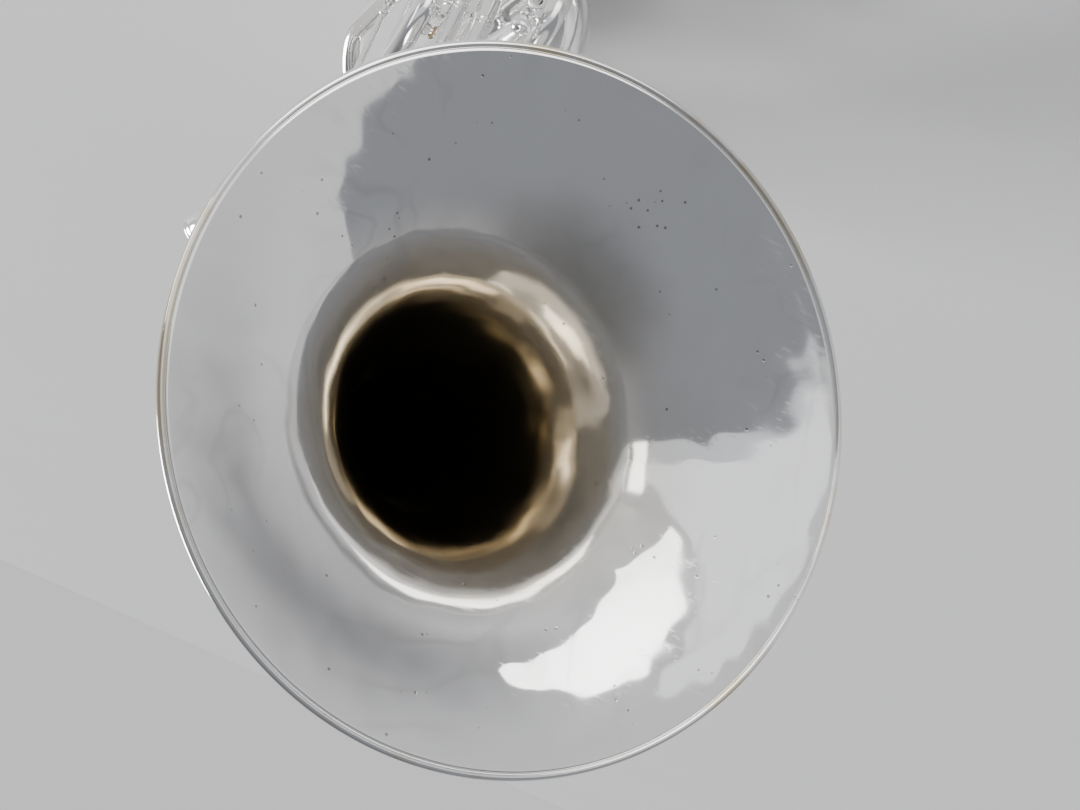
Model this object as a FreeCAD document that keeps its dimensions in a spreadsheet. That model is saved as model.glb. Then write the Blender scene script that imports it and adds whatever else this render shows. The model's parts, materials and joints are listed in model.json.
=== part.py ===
"""A marching bugle with a wide horn-like bell, two piston valves and a main tuning slide.

Frame: +X is the way the bell points, +Y is the player's left, +Z is up. The bell's axis runs
along X. Heights in the sheet are measured down from that axis, lengths back from the rim and
side offsets towards -Y. The finished drawing is set down so that its lowest point is at Z = 0
and its box is centred over the origin, and is then mirrored in the bell's upright plane, because
this bugle carries its valves and leadpipe on the player's left, as a French horn does.
"""
import FreeCAD
import Part
import math
import os
import Sketcher

Vector = FreeCAD.Vector
doc = FreeCAD.newDocument("bugle")

# ---------------------------------------------------------------- driving dimensions
DIMENSIONS = {
    "bell_radius": 146.8, "bell_throat": 13.5, "bell_flare_length": 60, "bell_flare_power": 1.5,
    "sheet_wall": 0.5, "rim_wire_radius": 1.6, "flare_back": 180, "tail_back": 265,
    "branch_tilt": 5, "bottom_drop": 236, "bow_end_radius": 11, "bottom_end_radius": 7,
    "front_bow_bend": 55, "front_bow_back": 144, "ferrule_length": 9, "ferrule_wall": 0.8,
    "tube_radius": 5.6, "tube_wall": 0.5, "slide_gap": 0.04, "sleeve_wall": 0.55,
    "valve_side": 62, "valve_1_back": 228, "valve_2_back": 200, "valve_top": 72,
    "valve_bottom": 192, "piston_radius": 9, "piston_gap": 0.04, "casing_wall": 1.36,
    "piston_top": 92, "piston_length": 72, "piston_travel": 16, "piston_shell": 0.7,
    "port_high": 101, "port_middle": 125, "port_low": 149, "stub_length": 5,
    "cap_wall": 1.4, "cap_height": 10, "stem_radius": 2.2, "stem_length": 44,
    "button_radius": 8.5, "button_height": 5, "pearl_radius": 6.8, "pearl_height": 1.4,
    "felt_radius": 6.2, "felt_height": 2.5, "spring_radius": 5.5, "spring_wire": 0.45,
    "spring_turns": 7, "leadpipe_side": 88, "leadpipe_drop": 149, "leadpipe_back": 440,
    "leadpipe_start_radius": 5.2, "receiver_length": 38, "receiver_radius": 7,
    "shank_radius": 5.5, "shank_gap": 0.05, "shank_length": 26, "mouthpiece_length": 72,
    "mouthpiece_rim": 13.2, "slide_bend": 38, "slide_back": 142, "sleeve_start": 161,
    "sleeve_upper_end": 232, "sleeve_lower_end": 252, "leg_length": 72,
    "loop_side": 36, "loop_upper_drop": 167, "loop_lower_drop": 247, "loop_back": 118,
    "first_return_back": 262, "second_return_back": 320, "elbow_bend": 12,
    "slide_1_end": 294, "slide_1_bend_back": 300, "slide_1_leg": 48,
    "slide_2_front": 131, "slide_2_spread": 7.2, "slide_2_bend": 14, "slide_2_sleeve_top": 166,
    "slide_2_sleeve_end": 201, "slide_2_bow_drop": 212, "slide_2_leg": 36,
    "rod_radius": 1.7, "flange_radius": 4.2, "flange_height": 1.6,
    "key_drop": 170, "key_nipple_radius": 3, "key_nipple_bore": 1.6, "key_cup_radius": 4.2,
    "key_cork_radius": 3.4, "key_arm_width": 3.4, "key_arm_thickness": 1.4, "key_pin_radius": 1,
    "key_barrel_radius": 2, "key_barrel_half": 1.6, "key_lug_gap": 3.5, "key_lug_wall": 1.2,
    "key_hinge_reach": 9, "key_thumb_reach": 24, "key_thumb_radius": 4.6, "key_gap": 0.05,
    "hook_bend": 12, "hook_radius": 1.9, "hook_back": 186,
    "lyre_bore": 2.6, "lyre_wall": 1.7, "lyre_length": 24, "lyre_side": 49, "lyre_drop": 192,
    "slide_1_ring_bend": 10, "slide_1_ring_rod": 1.5, "slide_1_ring_reach": 9.5,
    "key_coil_bend": 1.6, "key_coil_wire": 0.3, "lyre_web_length": 8, "lyre_web_height": 6,
    "lyre_web_back": 85, "lyre_web_inset": 3,
    "lyre_mouth_back": 66, "screw_radius": 1.5, "screw_gap": 0.06, "screw_head_radius": 5,
}
sheet = doc.addObject("Spreadsheet::Sheet", "dims")
for row, (alias, number) in enumerate(DIMENSIONS.items(), start=1):
    sheet.set("A%d" % row, str(number))
    sheet.setAlias("A%d" % row, alias)
doc.recompute()

SADDLE_LENGTH = 30
nodes = {}


def value(text):
    """The number that an expression on the sheet gives."""
    result = sheet.evalExpression(text)
    return float(getattr(result, "Value", result))


def place(origin, axis, side=None):
    """A placement whose own Z points along axis, and whose own X leans towards side."""
    axis = Vector(axis).normalize()
    if side is None:
        side = Vector(1, 0, 0) if abs(axis.x) < 0.9 else Vector(0, 0, 1)
    side = Vector(side)
    side = (side - axis * side.dot(axis)).normalize()
    return FreeCAD.Placement(Vector(origin), FreeCAD.Rotation(side, axis.cross(side), axis, "ZXY"))


def keep(label, item):
    """Names a finished sub-part, which is then written to a file of that name."""
    item.Label = label
    nodes[label] = item
    return item


def new_sketch(body, name, plane):
    """A sketch on one of the body's own origin planes."""
    sketch = body.newObject("Sketcher::SketchObject", name)
    role = [item for item in body.Origin.OriginFeatures if item.Role == plane][0]
    sketch.AttachmentSupport = [(role, "")]
    sketch.MapMode = "FlatFace"
    return sketch


def turned(name, outline, where):
    """A piece turned about its own Z, from a closed outline of (radius, height) expressions."""
    body = doc.addObject("PartDesign::Body", name)
    sketch = new_sketch(body, name + "_outline", "XZ_Plane")
    points = [Vector(value(radius), value(height), 0) for radius, height in outline]
    count = len(points)
    for index, point in enumerate(points):
        sketch.addGeometry(Part.LineSegment(point, points[(index + 1) % count]), False)
    for index, (radius, height) in enumerate(outline):
        sketch.addConstraint(Sketcher.Constraint("Coincident", index, 2, (index + 1) % count, 1))
        if radius == "0":
            sketch.addConstraint(Sketcher.Constraint("PointOnObject", index, 1, -2))
        else:
            distance = Sketcher.Constraint("DistanceX", -1, 1, index, 1, points[index].x)
            sketch.setExpression("Constraints[%d]" % sketch.addConstraint(distance), radius)
        if height == "0":
            sketch.addConstraint(Sketcher.Constraint("PointOnObject", index, 1, -1))
        else:
            distance = Sketcher.Constraint("DistanceY", -1, 1, index, 1, points[index].y)
            sketch.setExpression("Constraints[%d]" % sketch.addConstraint(distance), height)
    turn = body.newObject("PartDesign::Revolution", name + "_turn")
    turn.Profile = sketch
    turn.ReferenceAxis = (sketch, ["V_Axis"])
    turn.Angle = 360
    body.Placement = where
    return body


def tube(name, start, end, outer="dims.tube_radius", wall="dims.tube_wall", outer_end=None):
    """A straight tube from start to end; outer_end makes it taper."""
    start = Vector(start)
    axis = Vector(end) - start
    far = outer_end or outer
    length = "%.6f" % axis.Length
    inner = "%s - %s"
    outline = [(inner % (outer, wall), "0"), (outer, "0"), (far, length), (inner % (far, wall), length)]
    return turned(name, outline, place(start, axis))


def bow(name, centre, to_start, axis, bend, angle=180, outer="dims.tube_radius"):
    """A bent tube: its section starts at to_start from the bend's centre and turns about axis."""
    body = doc.addObject("PartDesign::Body", name)
    sketch = new_sketch(body, name + "_section", "XZ_Plane")
    for radius in (outer, outer + " - dims.tube_wall"):
        circle = Part.Circle(Vector(value(bend), 0, 0), Vector(0, 0, 1), value(radius))
        index = sketch.addGeometry(circle, False)
        sketch.addConstraint(Sketcher.Constraint("PointOnObject", index, 3, -1))
        middle = sketch.addConstraint(Sketcher.Constraint("DistanceX", -1, 1, index, 3, value(bend)))
        sketch.setExpression("Constraints[%d]" % middle, bend)
        size = sketch.addConstraint(Sketcher.Constraint("Radius", index, value(radius)))
        sketch.setExpression("Constraints[%d]" % size, radius)
    turn = body.newObject("PartDesign::Revolution", name + "_turn")
    turn.Profile = sketch
    turn.ReferenceAxis = (sketch, ["V_Axis"])
    turn.Angle = angle
    body.Placement = place(centre, axis, to_start)
    return body


def u_bow(name, start, end, direction):
    """A half-circle bow that joins the ends of two parallel tubes, bulging along direction."""
    start, end, direction = Vector(start), Vector(end), Vector(direction)
    centre = (start + end) * 0.5
    to_start = start - centre
    axis = Vector(to_start).cross(direction)
    return bow(name, centre, to_start, axis, "%.6f" % to_start.Length)


def ferrule(name, middle, axis, radius="dims.tube_radius"):
    """A raised ring with a bead at each end, soldered over a joint."""
    axis = Vector(axis).normalize()
    start = Vector(middle) - axis * (value("dims.ferrule_length") / 2)
    low, high = radius + " + dims.ferrule_wall * 0.6", radius + " + dims.ferrule_wall * 1.4"
    outline = [(radius, "0"), (high, "0.2"), (high, "1.4"), (low, "1.8"),
               (low, "dims.ferrule_length - 1.8"), (high, "dims.ferrule_length - 1.4"),
               (high, "dims.ferrule_length - 0.2"), (radius, "dims.ferrule_length")]
    return turned(name, outline, place(start, axis))


def cylinder(name, radius, length, where):
    """A plain cylinder bound to the sheet, used to cut or to fill."""
    item = doc.addObject("Part::Cylinder", name)
    item.setExpression("Radius", radius)
    item.setExpression("Height", length)
    item.Placement = where
    return item


def cut(name, base, tool):
    """Base less tool."""
    item = doc.addObject("Part::Cut", name)
    item.Base = base
    item.Tool = tool
    return item


def fuse(name, items):
    """Several solids brazed into one."""
    item = doc.addObject("Part::MultiFuse", name)
    item.Shapes = items
    return item


def group(name, items):
    """Several like solids that share one node."""
    item = doc.addObject("Part::Compound", name)
    item.Links = items
    return item


def saddled(item, name, ends):
    """The item less the outside of each tube it stands on: ends are (point, tube) pairs.

    A tube is (direction, radius) or, where it tapers, (direction, radius, radius further along).
    """
    for index, (point, along) in enumerate(ends):
        direction = Vector(along[0]).normalize()
        where = place(point - direction * (SADDLE_LENGTH / 2), direction)
        if len(along) == 2:
            tool = cylinder("%s_tube_%d" % (name, index), along[1], "%.6f" % SADDLE_LENGTH, where)
        else:
            tool = doc.addObject("Part::Cone", "%s_tube_%d" % (name, index))
            tool.setExpression("Radius1", along[1])
            tool.setExpression("Radius2", along[2])
            tool.Height = SADDLE_LENGTH
            tool.Placement = where
        item = cut("%s_saddle_%d" % (name, index), item, tool)
    return item


def brace(name, start, end, start_tube, end_tube):
    """A rod with a flange at each end, from the middle of one tube to the middle of another."""
    start, end = Vector(start), Vector(end)
    axis = (end - start).normalize()
    first = start + axis * (value(start_tube[1]) - 1.2)
    last = end - axis * (value(end_tube[1]) - 1.2)
    length = "%.6f" % (last - first).Length
    foot, flare = "dims.flange_height + 1.2", "dims.flange_height + 2.6"
    outline = [("0", "0"), ("dims.flange_radius", "0"), ("dims.flange_radius", foot),
               ("dims.rod_radius", flare), ("dims.rod_radius", length + " - (" + flare + ")"),
               ("dims.flange_radius", length + " - (" + foot + ")"), ("dims.flange_radius", length),
               ("0", length)]
    return saddled(turned(name + "_rod", outline, place(first, axis)), name,
                   [(start, start_tube), (end, end_tube)])


def post(name, start, end, start_tube, end_tube):
    """A plain short post between two tubes that lie close together."""
    start, end = Vector(start), Vector(end)
    rod = cylinder(name + "_rod", "dims.rod_radius + 1.1", "%.6f" % (end - start).Length,
                   place(start, end - start))
    return saddled(rod, name, [(start, start_tube), (end, end_tube)])


# ---------------------------------------------------------------- places worked out from the sheet
X, Y, Z = Vector(1, 0, 0), Vector(0, 1, 0), Vector(0, 0, 1)
tilt = math.radians(value("dims.branch_tilt"))
DOWN = Vector(0, -math.sin(tilt), -math.cos(tilt))


def branch(back, drop):
    """A point in the tilted plane of the bell branch."""
    return Vector(-back, 0, 0) + DOWN * drop


def at(back, side, drop):
    """A point by its distance back from the rim, to the right of and below the bell's axis."""
    return Vector(-back, -side, -drop)


def bell_outer(back):
    """Outer radius of the bell at a distance behind its rim."""
    throat = value("dims.bell_throat")
    grow = (1 + back / value("dims.bell_flare_length")) ** -value("dims.bell_flare_power")
    return throat + (value("dims.bell_radius") - throat) * grow


# ---------------------------------------------------------------- bell
def bell_shell(name, front, back, count):
    """A stretch of the bell: a smooth curve through the flare's radii, turned about X."""
    wall = value("dims.sheet_wall")
    outside, inside = [], []
    for index in range(count + 1):
        step = front + (back - front) * (index / count) ** 1.6
        slope = (bell_outer(step) - bell_outer(step + 0.1)) / 0.1
        lean = math.hypot(1, slope)
        outside.append(Vector(-step, 0, bell_outer(step)))
        inside.append(Vector(-step, 0, bell_outer(step) - wall * lean))
    curves = []
    for points in (outside, inside):
        curve = Part.BSplineCurve()
        curve.interpolate(points)
        curves.append(curve.toShape())
    ends = [Part.makeLine(outside[0], inside[0]), Part.makeLine(outside[-1], inside[-1])]
    face = Part.Face(Part.Wire(Part.__sortEdges__(curves + ends)))
    item = doc.addObject("Part::Feature", name)
    item.Shape = face.revolve(Vector(0, 0, 0), X, 360)
    return item


def tapered_bow(name, centre, first, second, angle, start_radius, end_radius, sections=9):
    """A bent tube that narrows evenly, swept from the direction first towards second."""
    bend = first.Length
    shells = []
    for inset in (0, value("dims.tube_wall")):
        rings = []
        for index in range(sections):
            turn = angle * index / (sections - 1)
            spoke = first * math.cos(turn) + second * math.sin(turn)
            heading = second * math.cos(turn) - first * math.sin(turn)
            radius = start_radius + (end_radius - start_radius) * index / (sections - 1) - inset
            rings.append(Part.Wire(Part.makeCircle(radius, centre + spoke, heading)))
        shells.append(Part.makeLoft(rings, True, False))
    item = doc.addObject("Part::Feature", name)
    item.Shape = shells[0].cut(shells[1])
    return item


flare_back, tail_back = value("dims.flare_back"), value("dims.tail_back")
keep("bell_flare", bell_shell("bell_flare", 0, flare_back, 14))
keep("bell_tail", bell_shell("bell_tail", flare_back, tail_back, 4))
wire = doc.addObject("Part::Torus", "bell_rim_wire")
wire.setExpression("Radius1", "dims.bell_radius + dims.rim_wire_radius")
wire.setExpression("Radius2", "dims.rim_wire_radius")
wire.Placement = place(Vector(-0.2, 0, 0), X)
keep("bell_rim_wire", wire)

half_drop = value("dims.bottom_drop") / 2
keep("back_bow", tapered_bow("back_bow", branch(tail_back, half_drop), DOWN * -half_drop, X * -half_drop,
                             math.pi, bell_outer(tail_back), value("dims.bow_end_radius"), 13))
front_back, bottom_drop = value("dims.front_bow_back"), value("dims.bottom_drop")
front_bend = value("dims.front_bow_bend")
keep("bottom_tube", tube("bottom_tube", branch(tail_back, bottom_drop), branch(front_back, bottom_drop),
                         "dims.bow_end_radius", "dims.tube_wall", "dims.bottom_end_radius"))
keep("front_bow", tapered_bow("front_bow", branch(front_back, bottom_drop - front_bend),
                              DOWN * front_bend, X * front_bend, math.pi,
                              value("dims.bottom_end_radius"), value("dims.tube_radius")))
upper_drop = bottom_drop - 2 * front_bend
valve_1, valve_2 = value("dims.valve_1_back"), value("dims.valve_2_back")
valve_side, elbow = value("dims.valve_side"), value("dims.elbow_bend")
casing_outer = value("dims.piston_radius + dims.piston_gap + dims.casing_wall")
branch_top = branch(front_back, upper_drop)
branch_top_end = branch(valve_2 - elbow, upper_drop)
keep("upper_tube", tube("upper_tube", branch_top, branch_top_end))

# The elbow and cross tube that carry the air from the second valve to the bell branch.
outlet_height = branch_top_end.z
outlet_corner = Vector(-valve_2, branch_top_end.y - elbow, outlet_height)
outlet_start = Vector(-valve_2, -valve_side + casing_outer + 3, outlet_height)
keep("outlet_tube", fuse("outlet_tube", [
    tube("outlet_cross", outlet_start, outlet_corner),
    bow("outlet_elbow", outlet_corner + X * elbow, X * -1, Z * -1, "dims.elbow_bend", 90),
]))

# ---------------------------------------------------------------- loop in front of the valves
loop_side = value("dims.loop_side")
loop_upper, loop_lower = value("dims.loop_upper_drop"), value("dims.loop_lower_drop")
loop_back = value("dims.loop_back")
first_return, second_return = value("dims.first_return_back"), value("dims.second_return_back")
port_low = value("dims.port_low")
slide_back, slide_bend = value("dims.slide_back"), value("dims.slide_bend")
lead_side, lead_drop = value("dims.leadpipe_side"), value("dims.leadpipe_drop")
slide_low = lead_drop + 2 * slide_bend
keep("first_return_bow", u_bow("first_return_bow", at(first_return, lead_side, slide_low),
                               at(first_return, loop_side, loop_upper), X * -1))
keep("loop_tubes", group("loop_tubes", [
    tube("loop_upper", at(first_return, loop_side, loop_upper), at(loop_back, loop_side, loop_upper)),
    tube("loop_lower", at(loop_back, loop_side, loop_lower), at(second_return, loop_side, loop_lower)),
    tube("loop_entry", at(value("dims.sleeve_lower_end") - 8, lead_side, slide_low),
         at(first_return, lead_side, slide_low)),
]))
keep("loop_bow", u_bow("loop_bow", at(loop_back, loop_side, loop_upper),
                       at(loop_back, loop_side, loop_lower), X))
keep("second_return_bow", u_bow("second_return_bow", at(second_return, loop_side, loop_lower),
                                at(second_return, valve_side, port_low), X * -1))
inlet_end = at(valve_1, valve_side, port_low) - X * (casing_outer + value("dims.stub_length"))
keep("valve_inlet_tube", tube("valve_inlet_tube", at(second_return, valve_side, port_low), inlet_end))

# ---------------------------------------------------------------- valves
CASING_INNER = "dims.piston_radius + dims.piston_gap"
CASING_OUTER = CASING_INNER + " + dims.casing_wall"
BORE = "dims.tube_radius - dims.tube_wall"
slide_2_spread = value("dims.slide_2_spread")


def port(back, drop, direction, shift=0.0):
    """A valve port: where it leaves the valve's axis, the way it points and its sideways shift."""
    return at(back, valve_side + shift, drop), Vector(direction)


PORTS = {
    1: [port(valve_1, value("dims.port_high"), X * -1), port(valve_1, value("dims.port_middle"), X * -1),
        port(valve_1, port_low, X * -1)],
    2: [port(valve_2, port_low, X, slide_2_spread), port(valve_2, port_low, X, -slide_2_spread),
        port(valve_2, -outlet_height, Y)],
}
link_start = at(valve_1, valve_side, port_low) + X * (casing_outer - 0.6)
link_end = at(valve_2, valve_side, port_low) - X * (casing_outer - 0.6)


def casing(number, back):
    """A valve casing: a lined cylinder with its port stubs brazed on and their bores cut."""
    name = "valve_%d_casing" % number
    base = at(back, valve_side, value("dims.valve_bottom"))
    height = "dims.valve_bottom - dims.valve_top"
    wall_lip = CASING_OUTER + " + 0.7"
    outline = [(CASING_INNER, "0"), (CASING_OUTER, "0"), (CASING_OUTER, "9"), (wall_lip, "9.6"),
               (wall_lip, "11.4"), (CASING_OUTER, "12"), (CASING_OUTER, height + " - 12"),
               (wall_lip, height + " - 11.4"), (wall_lip, height + " - 9.6"),
               (CASING_OUTER, height + " - 9"), (CASING_OUTER, height), (CASING_INNER, height)]
    pieces = [turned(name + "_barrel", outline, place(base, Z))]
    bores = []
    for index, (start, direction) in enumerate(PORTS[number]):
        reach = casing_outer + (3 if direction == Y else value("dims.stub_length"))
        label = "%s_stub_%d" % (name, index)
        pieces.append(cylinder(label, "dims.tube_radius + 0.5", "%.6f" % reach, place(start, direction)))
        bores.append(cylinder(label + "_bore", BORE, "60", place(start, direction)))
    other = X if number == 1 else X * -1
    bores.append(cylinder(name + "_link_bore", BORE, "14", place(at(back, valve_side, port_low), other)))
    clear = cylinder(name + "_clear", CASING_INNER, "200", place(base - Z * 20, Z))
    return keep(name, cut(name, fuse(name + "_brazed", pieces), fuse(name + "_bores", bores + [clear])))


def piston(number, back):
    """A hollow piston with its through passage and two crossing ones."""
    name = "valve_%d_piston" % number
    top = value("dims.piston_top")
    base = at(back, valve_side, top) - Z * value("dims.piston_length")
    inner, end = "dims.piston_radius - dims.piston_shell", "dims.piston_length"
    outline = [("0", "0"), ("dims.piston_radius", "0"), ("dims.piston_radius", end), ("0", end),
               ("0", end + " - 1.2"), (inner, end + " - 1.2"), (inner, "1.2"), ("0", "1.2")]
    shell = turned(name + "_shell", outline, place(base, Z))
    ways, bores = [], []
    passages = ((port_low, Vector(1, 0, 0)), (port_low - 16, Vector(1, 0, 0.35)),
                (value("dims.port_middle") - 13, Vector(0.6, 0.8, -0.2)))
    for index, (drop, direction) in enumerate(passages):
        middle = at(back, valve_side, drop)
        start = middle - Vector(direction).normalize() * 20
        label = "%s_way_%d" % (name, index)
        ways.append(cylinder(label, "dims.tube_radius - 0.1", "40", place(start, direction)))
        bores.append(cylinder(label + "_bore", BORE, "44", place(start, direction)))
    envelope = cylinder(name + "_envelope", "dims.piston_radius", "dims.piston_length", place(base, Z))
    inside = doc.addObject("Part::Common", name + "_ways")
    inside.Base = fuse(name + "_way_tubes", ways)
    inside.Tool = envelope
    return keep(name, cut(name, fuse(name + "_body", [shell, inside]), fuse(name + "_way_bores", bores)))


def valve_trim(number, back):
    """The caps, stem, button, pearl, felt and spring of one valve."""
    name = "valve_%d_" % number
    axis_top = at(back, valve_side, value("dims.valve_top"))
    axis_bottom = at(back, valve_side, value("dims.valve_bottom"))
    rim, skin = CASING_OUTER + " + dims.cap_wall", CASING_OUTER + " + 0.05"
    cap_low, cap_high = "dims.cap_height - 2.4", "dims.cap_height"
    hole = "dims.stem_radius + 0.06"
    keep(name + "top_cap", turned(name + "top_cap", [
        (skin, "0"), (rim, "0.4"), (rim, cap_low), (rim + " - 2.2", cap_high),
        ("dims.stem_radius + 2.4", cap_high), ("dims.stem_radius + 2.4", cap_high + " + 1.6"),
        (hole, cap_high + " + 1.6"), (hole, cap_low), (skin, cap_low)], place(axis_top - Z * 7.5, Z)))
    keep(name + "bottom_cap", turned(name + "bottom_cap", [
        (skin, "0"), (rim, "0.4"), (rim, cap_low), (rim + " - 2.2", cap_high), ("3", cap_high + " + 1"),
        ("2.2", cap_high), ("0", cap_high), ("0", cap_low), (skin, cap_low)],
        place(axis_bottom + Z * 7.5, Z * -1)))
    stem_base = at(back, valve_side, value("dims.piston_top"))
    keep(name + "stem", turned(name + "stem", [
        ("0", "0"), ("5.4", "0"), ("5.4", "1.6"), ("dims.stem_radius", "2.6"),
        ("dims.stem_radius", "dims.stem_length"), ("0", "dims.stem_length")], place(stem_base, Z)))
    button_base = stem_base + Z * value("dims.stem_length")
    keep(name + "button", turned(name + "button", [
        ("0", "0"), ("3.4", "0"), ("4.2", "1.4"), ("dims.button_radius - 1", "dims.button_height - 2.4"),
        ("dims.button_radius", "dims.button_height - 1.4"),
        ("dims.button_radius", "dims.button_height - 0.5"),
        ("dims.button_radius - 0.5", "dims.button_height"),
        ("dims.pearl_radius", "dims.button_height"),
        ("dims.pearl_radius", "dims.button_height - 1"), ("0", "dims.button_height - 1")],
        place(button_base, Z)))
    keep(name + "pearl", turned(name + "pearl", [
        ("0", "0"), ("dims.pearl_radius - 0.02", "0"), ("dims.pearl_radius - 0.02", "1"),
        ("dims.pearl_radius - 1", "1.4"), ("2.5", "1"), ("0", "0.9")],
        place(button_base + Z * (value("dims.button_height") - 1), Z)))
    keep(name + "felt", turned(name + "felt", [
        ("dims.stem_radius", "0"), ("dims.felt_radius", "0"), ("dims.felt_radius", "dims.felt_height"),
        ("dims.stem_radius", "dims.felt_height")],
        place(button_base - Z * value("dims.felt_height"), Z)))
    room = value("dims.valve_bottom - dims.piston_top - dims.piston_length + 0.1 - 0.4 - 0.1")
    helix = doc.addObject("Part::Helix", name + "spring_line")
    helix.setExpression("Radius", "dims.spring_radius")
    helix.Height = room - 2 * value("dims.spring_wire")
    helix.Pitch = helix.Height / value("dims.spring_turns")
    section = doc.addObject("Part::Circle", name + "spring_section")
    section.setExpression("Radius", "dims.spring_wire")
    section.Placement = place(Vector(value("dims.spring_radius"), 0, 0), Y, X)
    spring = doc.addObject("Part::Sweep", name + "spring")
    spring.Sections = [section]
    spring.Spine = (helix, ["Edge1"])
    spring.Solid = True
    spring.Frenet = True
    spring.Placement = place(axis_bottom + Z * (0.25 + value("dims.spring_wire")), Z)
    keep(name + "spring", spring)


for number, back in ((1, valve_1), (2, valve_2)):
    casing(number, back)
    piston(number, back)
    valve_trim(number, back)
link = cylinder("valve_link_rod", "dims.tube_radius", "%.6f" % (link_end - link_start).Length,
                place(link_start, X))
link_bore = cylinder("valve_link_bore", BORE, "60", place(link_start - X * 20, X))
barrels = [cylinder("valve_link_clear_%d" % number, CASING_OUTER, "60",
                    place(at(back, valve_side, port_low + 30), Z))
           for number, back in ((1, valve_1), (2, valve_2))]
keep("valve_link", cut("valve_link", link, fuse("valve_link_clear", barrels + [link_bore])))

# ---------------------------------------------------------------- slides
SLEEVE_INNER = "dims.tube_radius + dims.slide_gap"
SLEEVE_OUTER = SLEEVE_INNER + " + dims.sleeve_wall"


def sleeve(name, start, end):
    """The outer tube of a slide, with a bead round its open end."""
    start, end = Vector(start), Vector(end)
    length = "%.6f" % (end - start).Length
    bead = SLEEVE_OUTER + " + 0.7"
    outline = [(SLEEVE_INNER, "0"), (bead, "0.3"), (bead, "2.2"), (SLEEVE_OUTER, "2.8"),
               (SLEEVE_OUTER, length), (SLEEVE_INNER, length)]
    return turned(name, outline, place(start, end - start))


leg = value("dims.leg_length")
sleeve_start = value("dims.sleeve_start")
keep("tuning_sleeves", group("tuning_sleeves", [
    sleeve("tuning_sleeve_upper", at(sleeve_start, lead_side, lead_drop),
           at(value("dims.sleeve_upper_end"), lead_side, lead_drop)),
    sleeve("tuning_sleeve_lower", at(sleeve_start, lead_side, slide_low),
           at(value("dims.sleeve_lower_end"), lead_side, slide_low)),
]))
keep("tuning_legs", group("tuning_legs", [
    tube("tuning_leg_%s" % end, at(slide_back, lead_side, drop), at(slide_back + leg, lead_side, drop))
    for end, drop in (("upper", lead_drop), ("lower", slide_low))]))
keep("tuning_crook", u_bow("tuning_crook", at(slide_back, lead_side, lead_drop),
                           at(slide_back, lead_side, slide_low), X))
AROUND_X = (X, "dims.tube_radius")
AROUND_SLEEVE = (X, SLEEVE_OUTER)
keep("tuning_slide_brace", brace("tuning_slide_brace", at(slide_back + 4.5, lead_side, lead_drop),
                                 at(slide_back + 4.5, lead_side, slide_low), AROUND_X, AROUND_X))

slide_1_end = value("dims.slide_1_end")
slide_1_back, slide_1_leg = value("dims.slide_1_bend_back"), value("dims.slide_1_leg")
slide_1_drops = (value("dims.port_high"), value("dims.port_middle"))
slide_1_start = valve_1 + casing_outer + value("dims.stub_length")
keep("slide_1_sleeves", group("slide_1_sleeves", [
    sleeve("slide_1_sleeve_%d" % drop, at(slide_1_end, valve_side, drop), at(slide_1_start, valve_side, drop))
    for drop in slide_1_drops]))
keep("slide_1_legs", group("slide_1_legs", [
    tube("slide_1_leg_%d" % drop, at(slide_1_back, valve_side, drop),
         at(slide_1_back - slide_1_leg, valve_side, drop)) for drop in slide_1_drops]))
keep("slide_1_crook", u_bow("slide_1_crook", at(slide_1_back, valve_side, slide_1_drops[0]),
                            at(slide_1_back, valve_side, slide_1_drops[1]), X * -1))
ring_middle = (slide_1_drops[0] + slide_1_drops[1]) / 2
ring = doc.addObject("Part::Torus", "slide_1_ring_loop")
ring.setExpression("Radius1", "dims.slide_1_ring_bend")
ring.setExpression("Radius2", "dims.slide_1_ring_rod")
slide_1_bend = (slide_1_drops[1] - slide_1_drops[0]) / 2
ring_back = slide_1_back + slide_1_bend + value("dims.tube_radius + dims.slide_1_ring_reach")
ring.Placement = place(at(ring_back, valve_side, ring_middle), Y)
ring_clear = cylinder("slide_1_ring_clear", "%.6f + dims.tube_radius" % slide_1_bend, "40",
                      place(at(slide_1_back, valve_side + 20, ring_middle), Y))
keep("slide_1_ring", cut("slide_1_ring", ring, ring_clear))

slide_2_front, slide_2_bend = value("dims.slide_2_front"), value("dims.slide_2_bend")
slide_2_sleeve_top, slide_2_sleeve_end = value("dims.slide_2_sleeve_top"), value("dims.slide_2_sleeve_end")
slide_2_bow = value("dims.slide_2_bow_drop")
port_pieces, sleeve_pieces, leg_pieces = [], [], []
for index, side in enumerate((valve_side + slide_2_spread, valve_side - slide_2_spread)):
    start = at(valve_2, side, port_low) + X * (casing_outer + value("dims.stub_length"))
    corner = at(slide_2_front + slide_2_bend, side, port_low)
    low = at(slide_2_front, side, port_low + slide_2_bend)
    port_pieces.append(fuse("slide_2_port_%d" % index, [
        tube("slide_2_port_run_%d" % index, start, corner),
        bow("slide_2_port_bend_%d" % index, corner - Z * slide_2_bend, Z, Y, "dims.slide_2_bend", 90),
        tube("slide_2_port_drop_%d" % index, low, at(slide_2_front, side, slide_2_sleeve_top)),
    ]))
    sleeve_pieces.append(sleeve("slide_2_sleeve_%d" % index, at(slide_2_front, side, slide_2_sleeve_end),
                                at(slide_2_front, side, slide_2_sleeve_top)))
    leg_pieces.append(tube("slide_2_leg_%d" % index, at(slide_2_front, side, slide_2_bow),
                           at(slide_2_front, side, slide_2_bow - value("dims.slide_2_leg"))))
keep("slide_2_ports", group("slide_2_ports", port_pieces))
keep("slide_2_sleeves", group("slide_2_sleeves", sleeve_pieces))
keep("slide_2_legs", group("slide_2_legs", leg_pieces))
keep("slide_2_crook", u_bow("slide_2_crook", at(slide_2_front, valve_side + slide_2_spread, slide_2_bow),
                            at(slide_2_front, valve_side - slide_2_spread, slide_2_bow), Z * -1))

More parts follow.
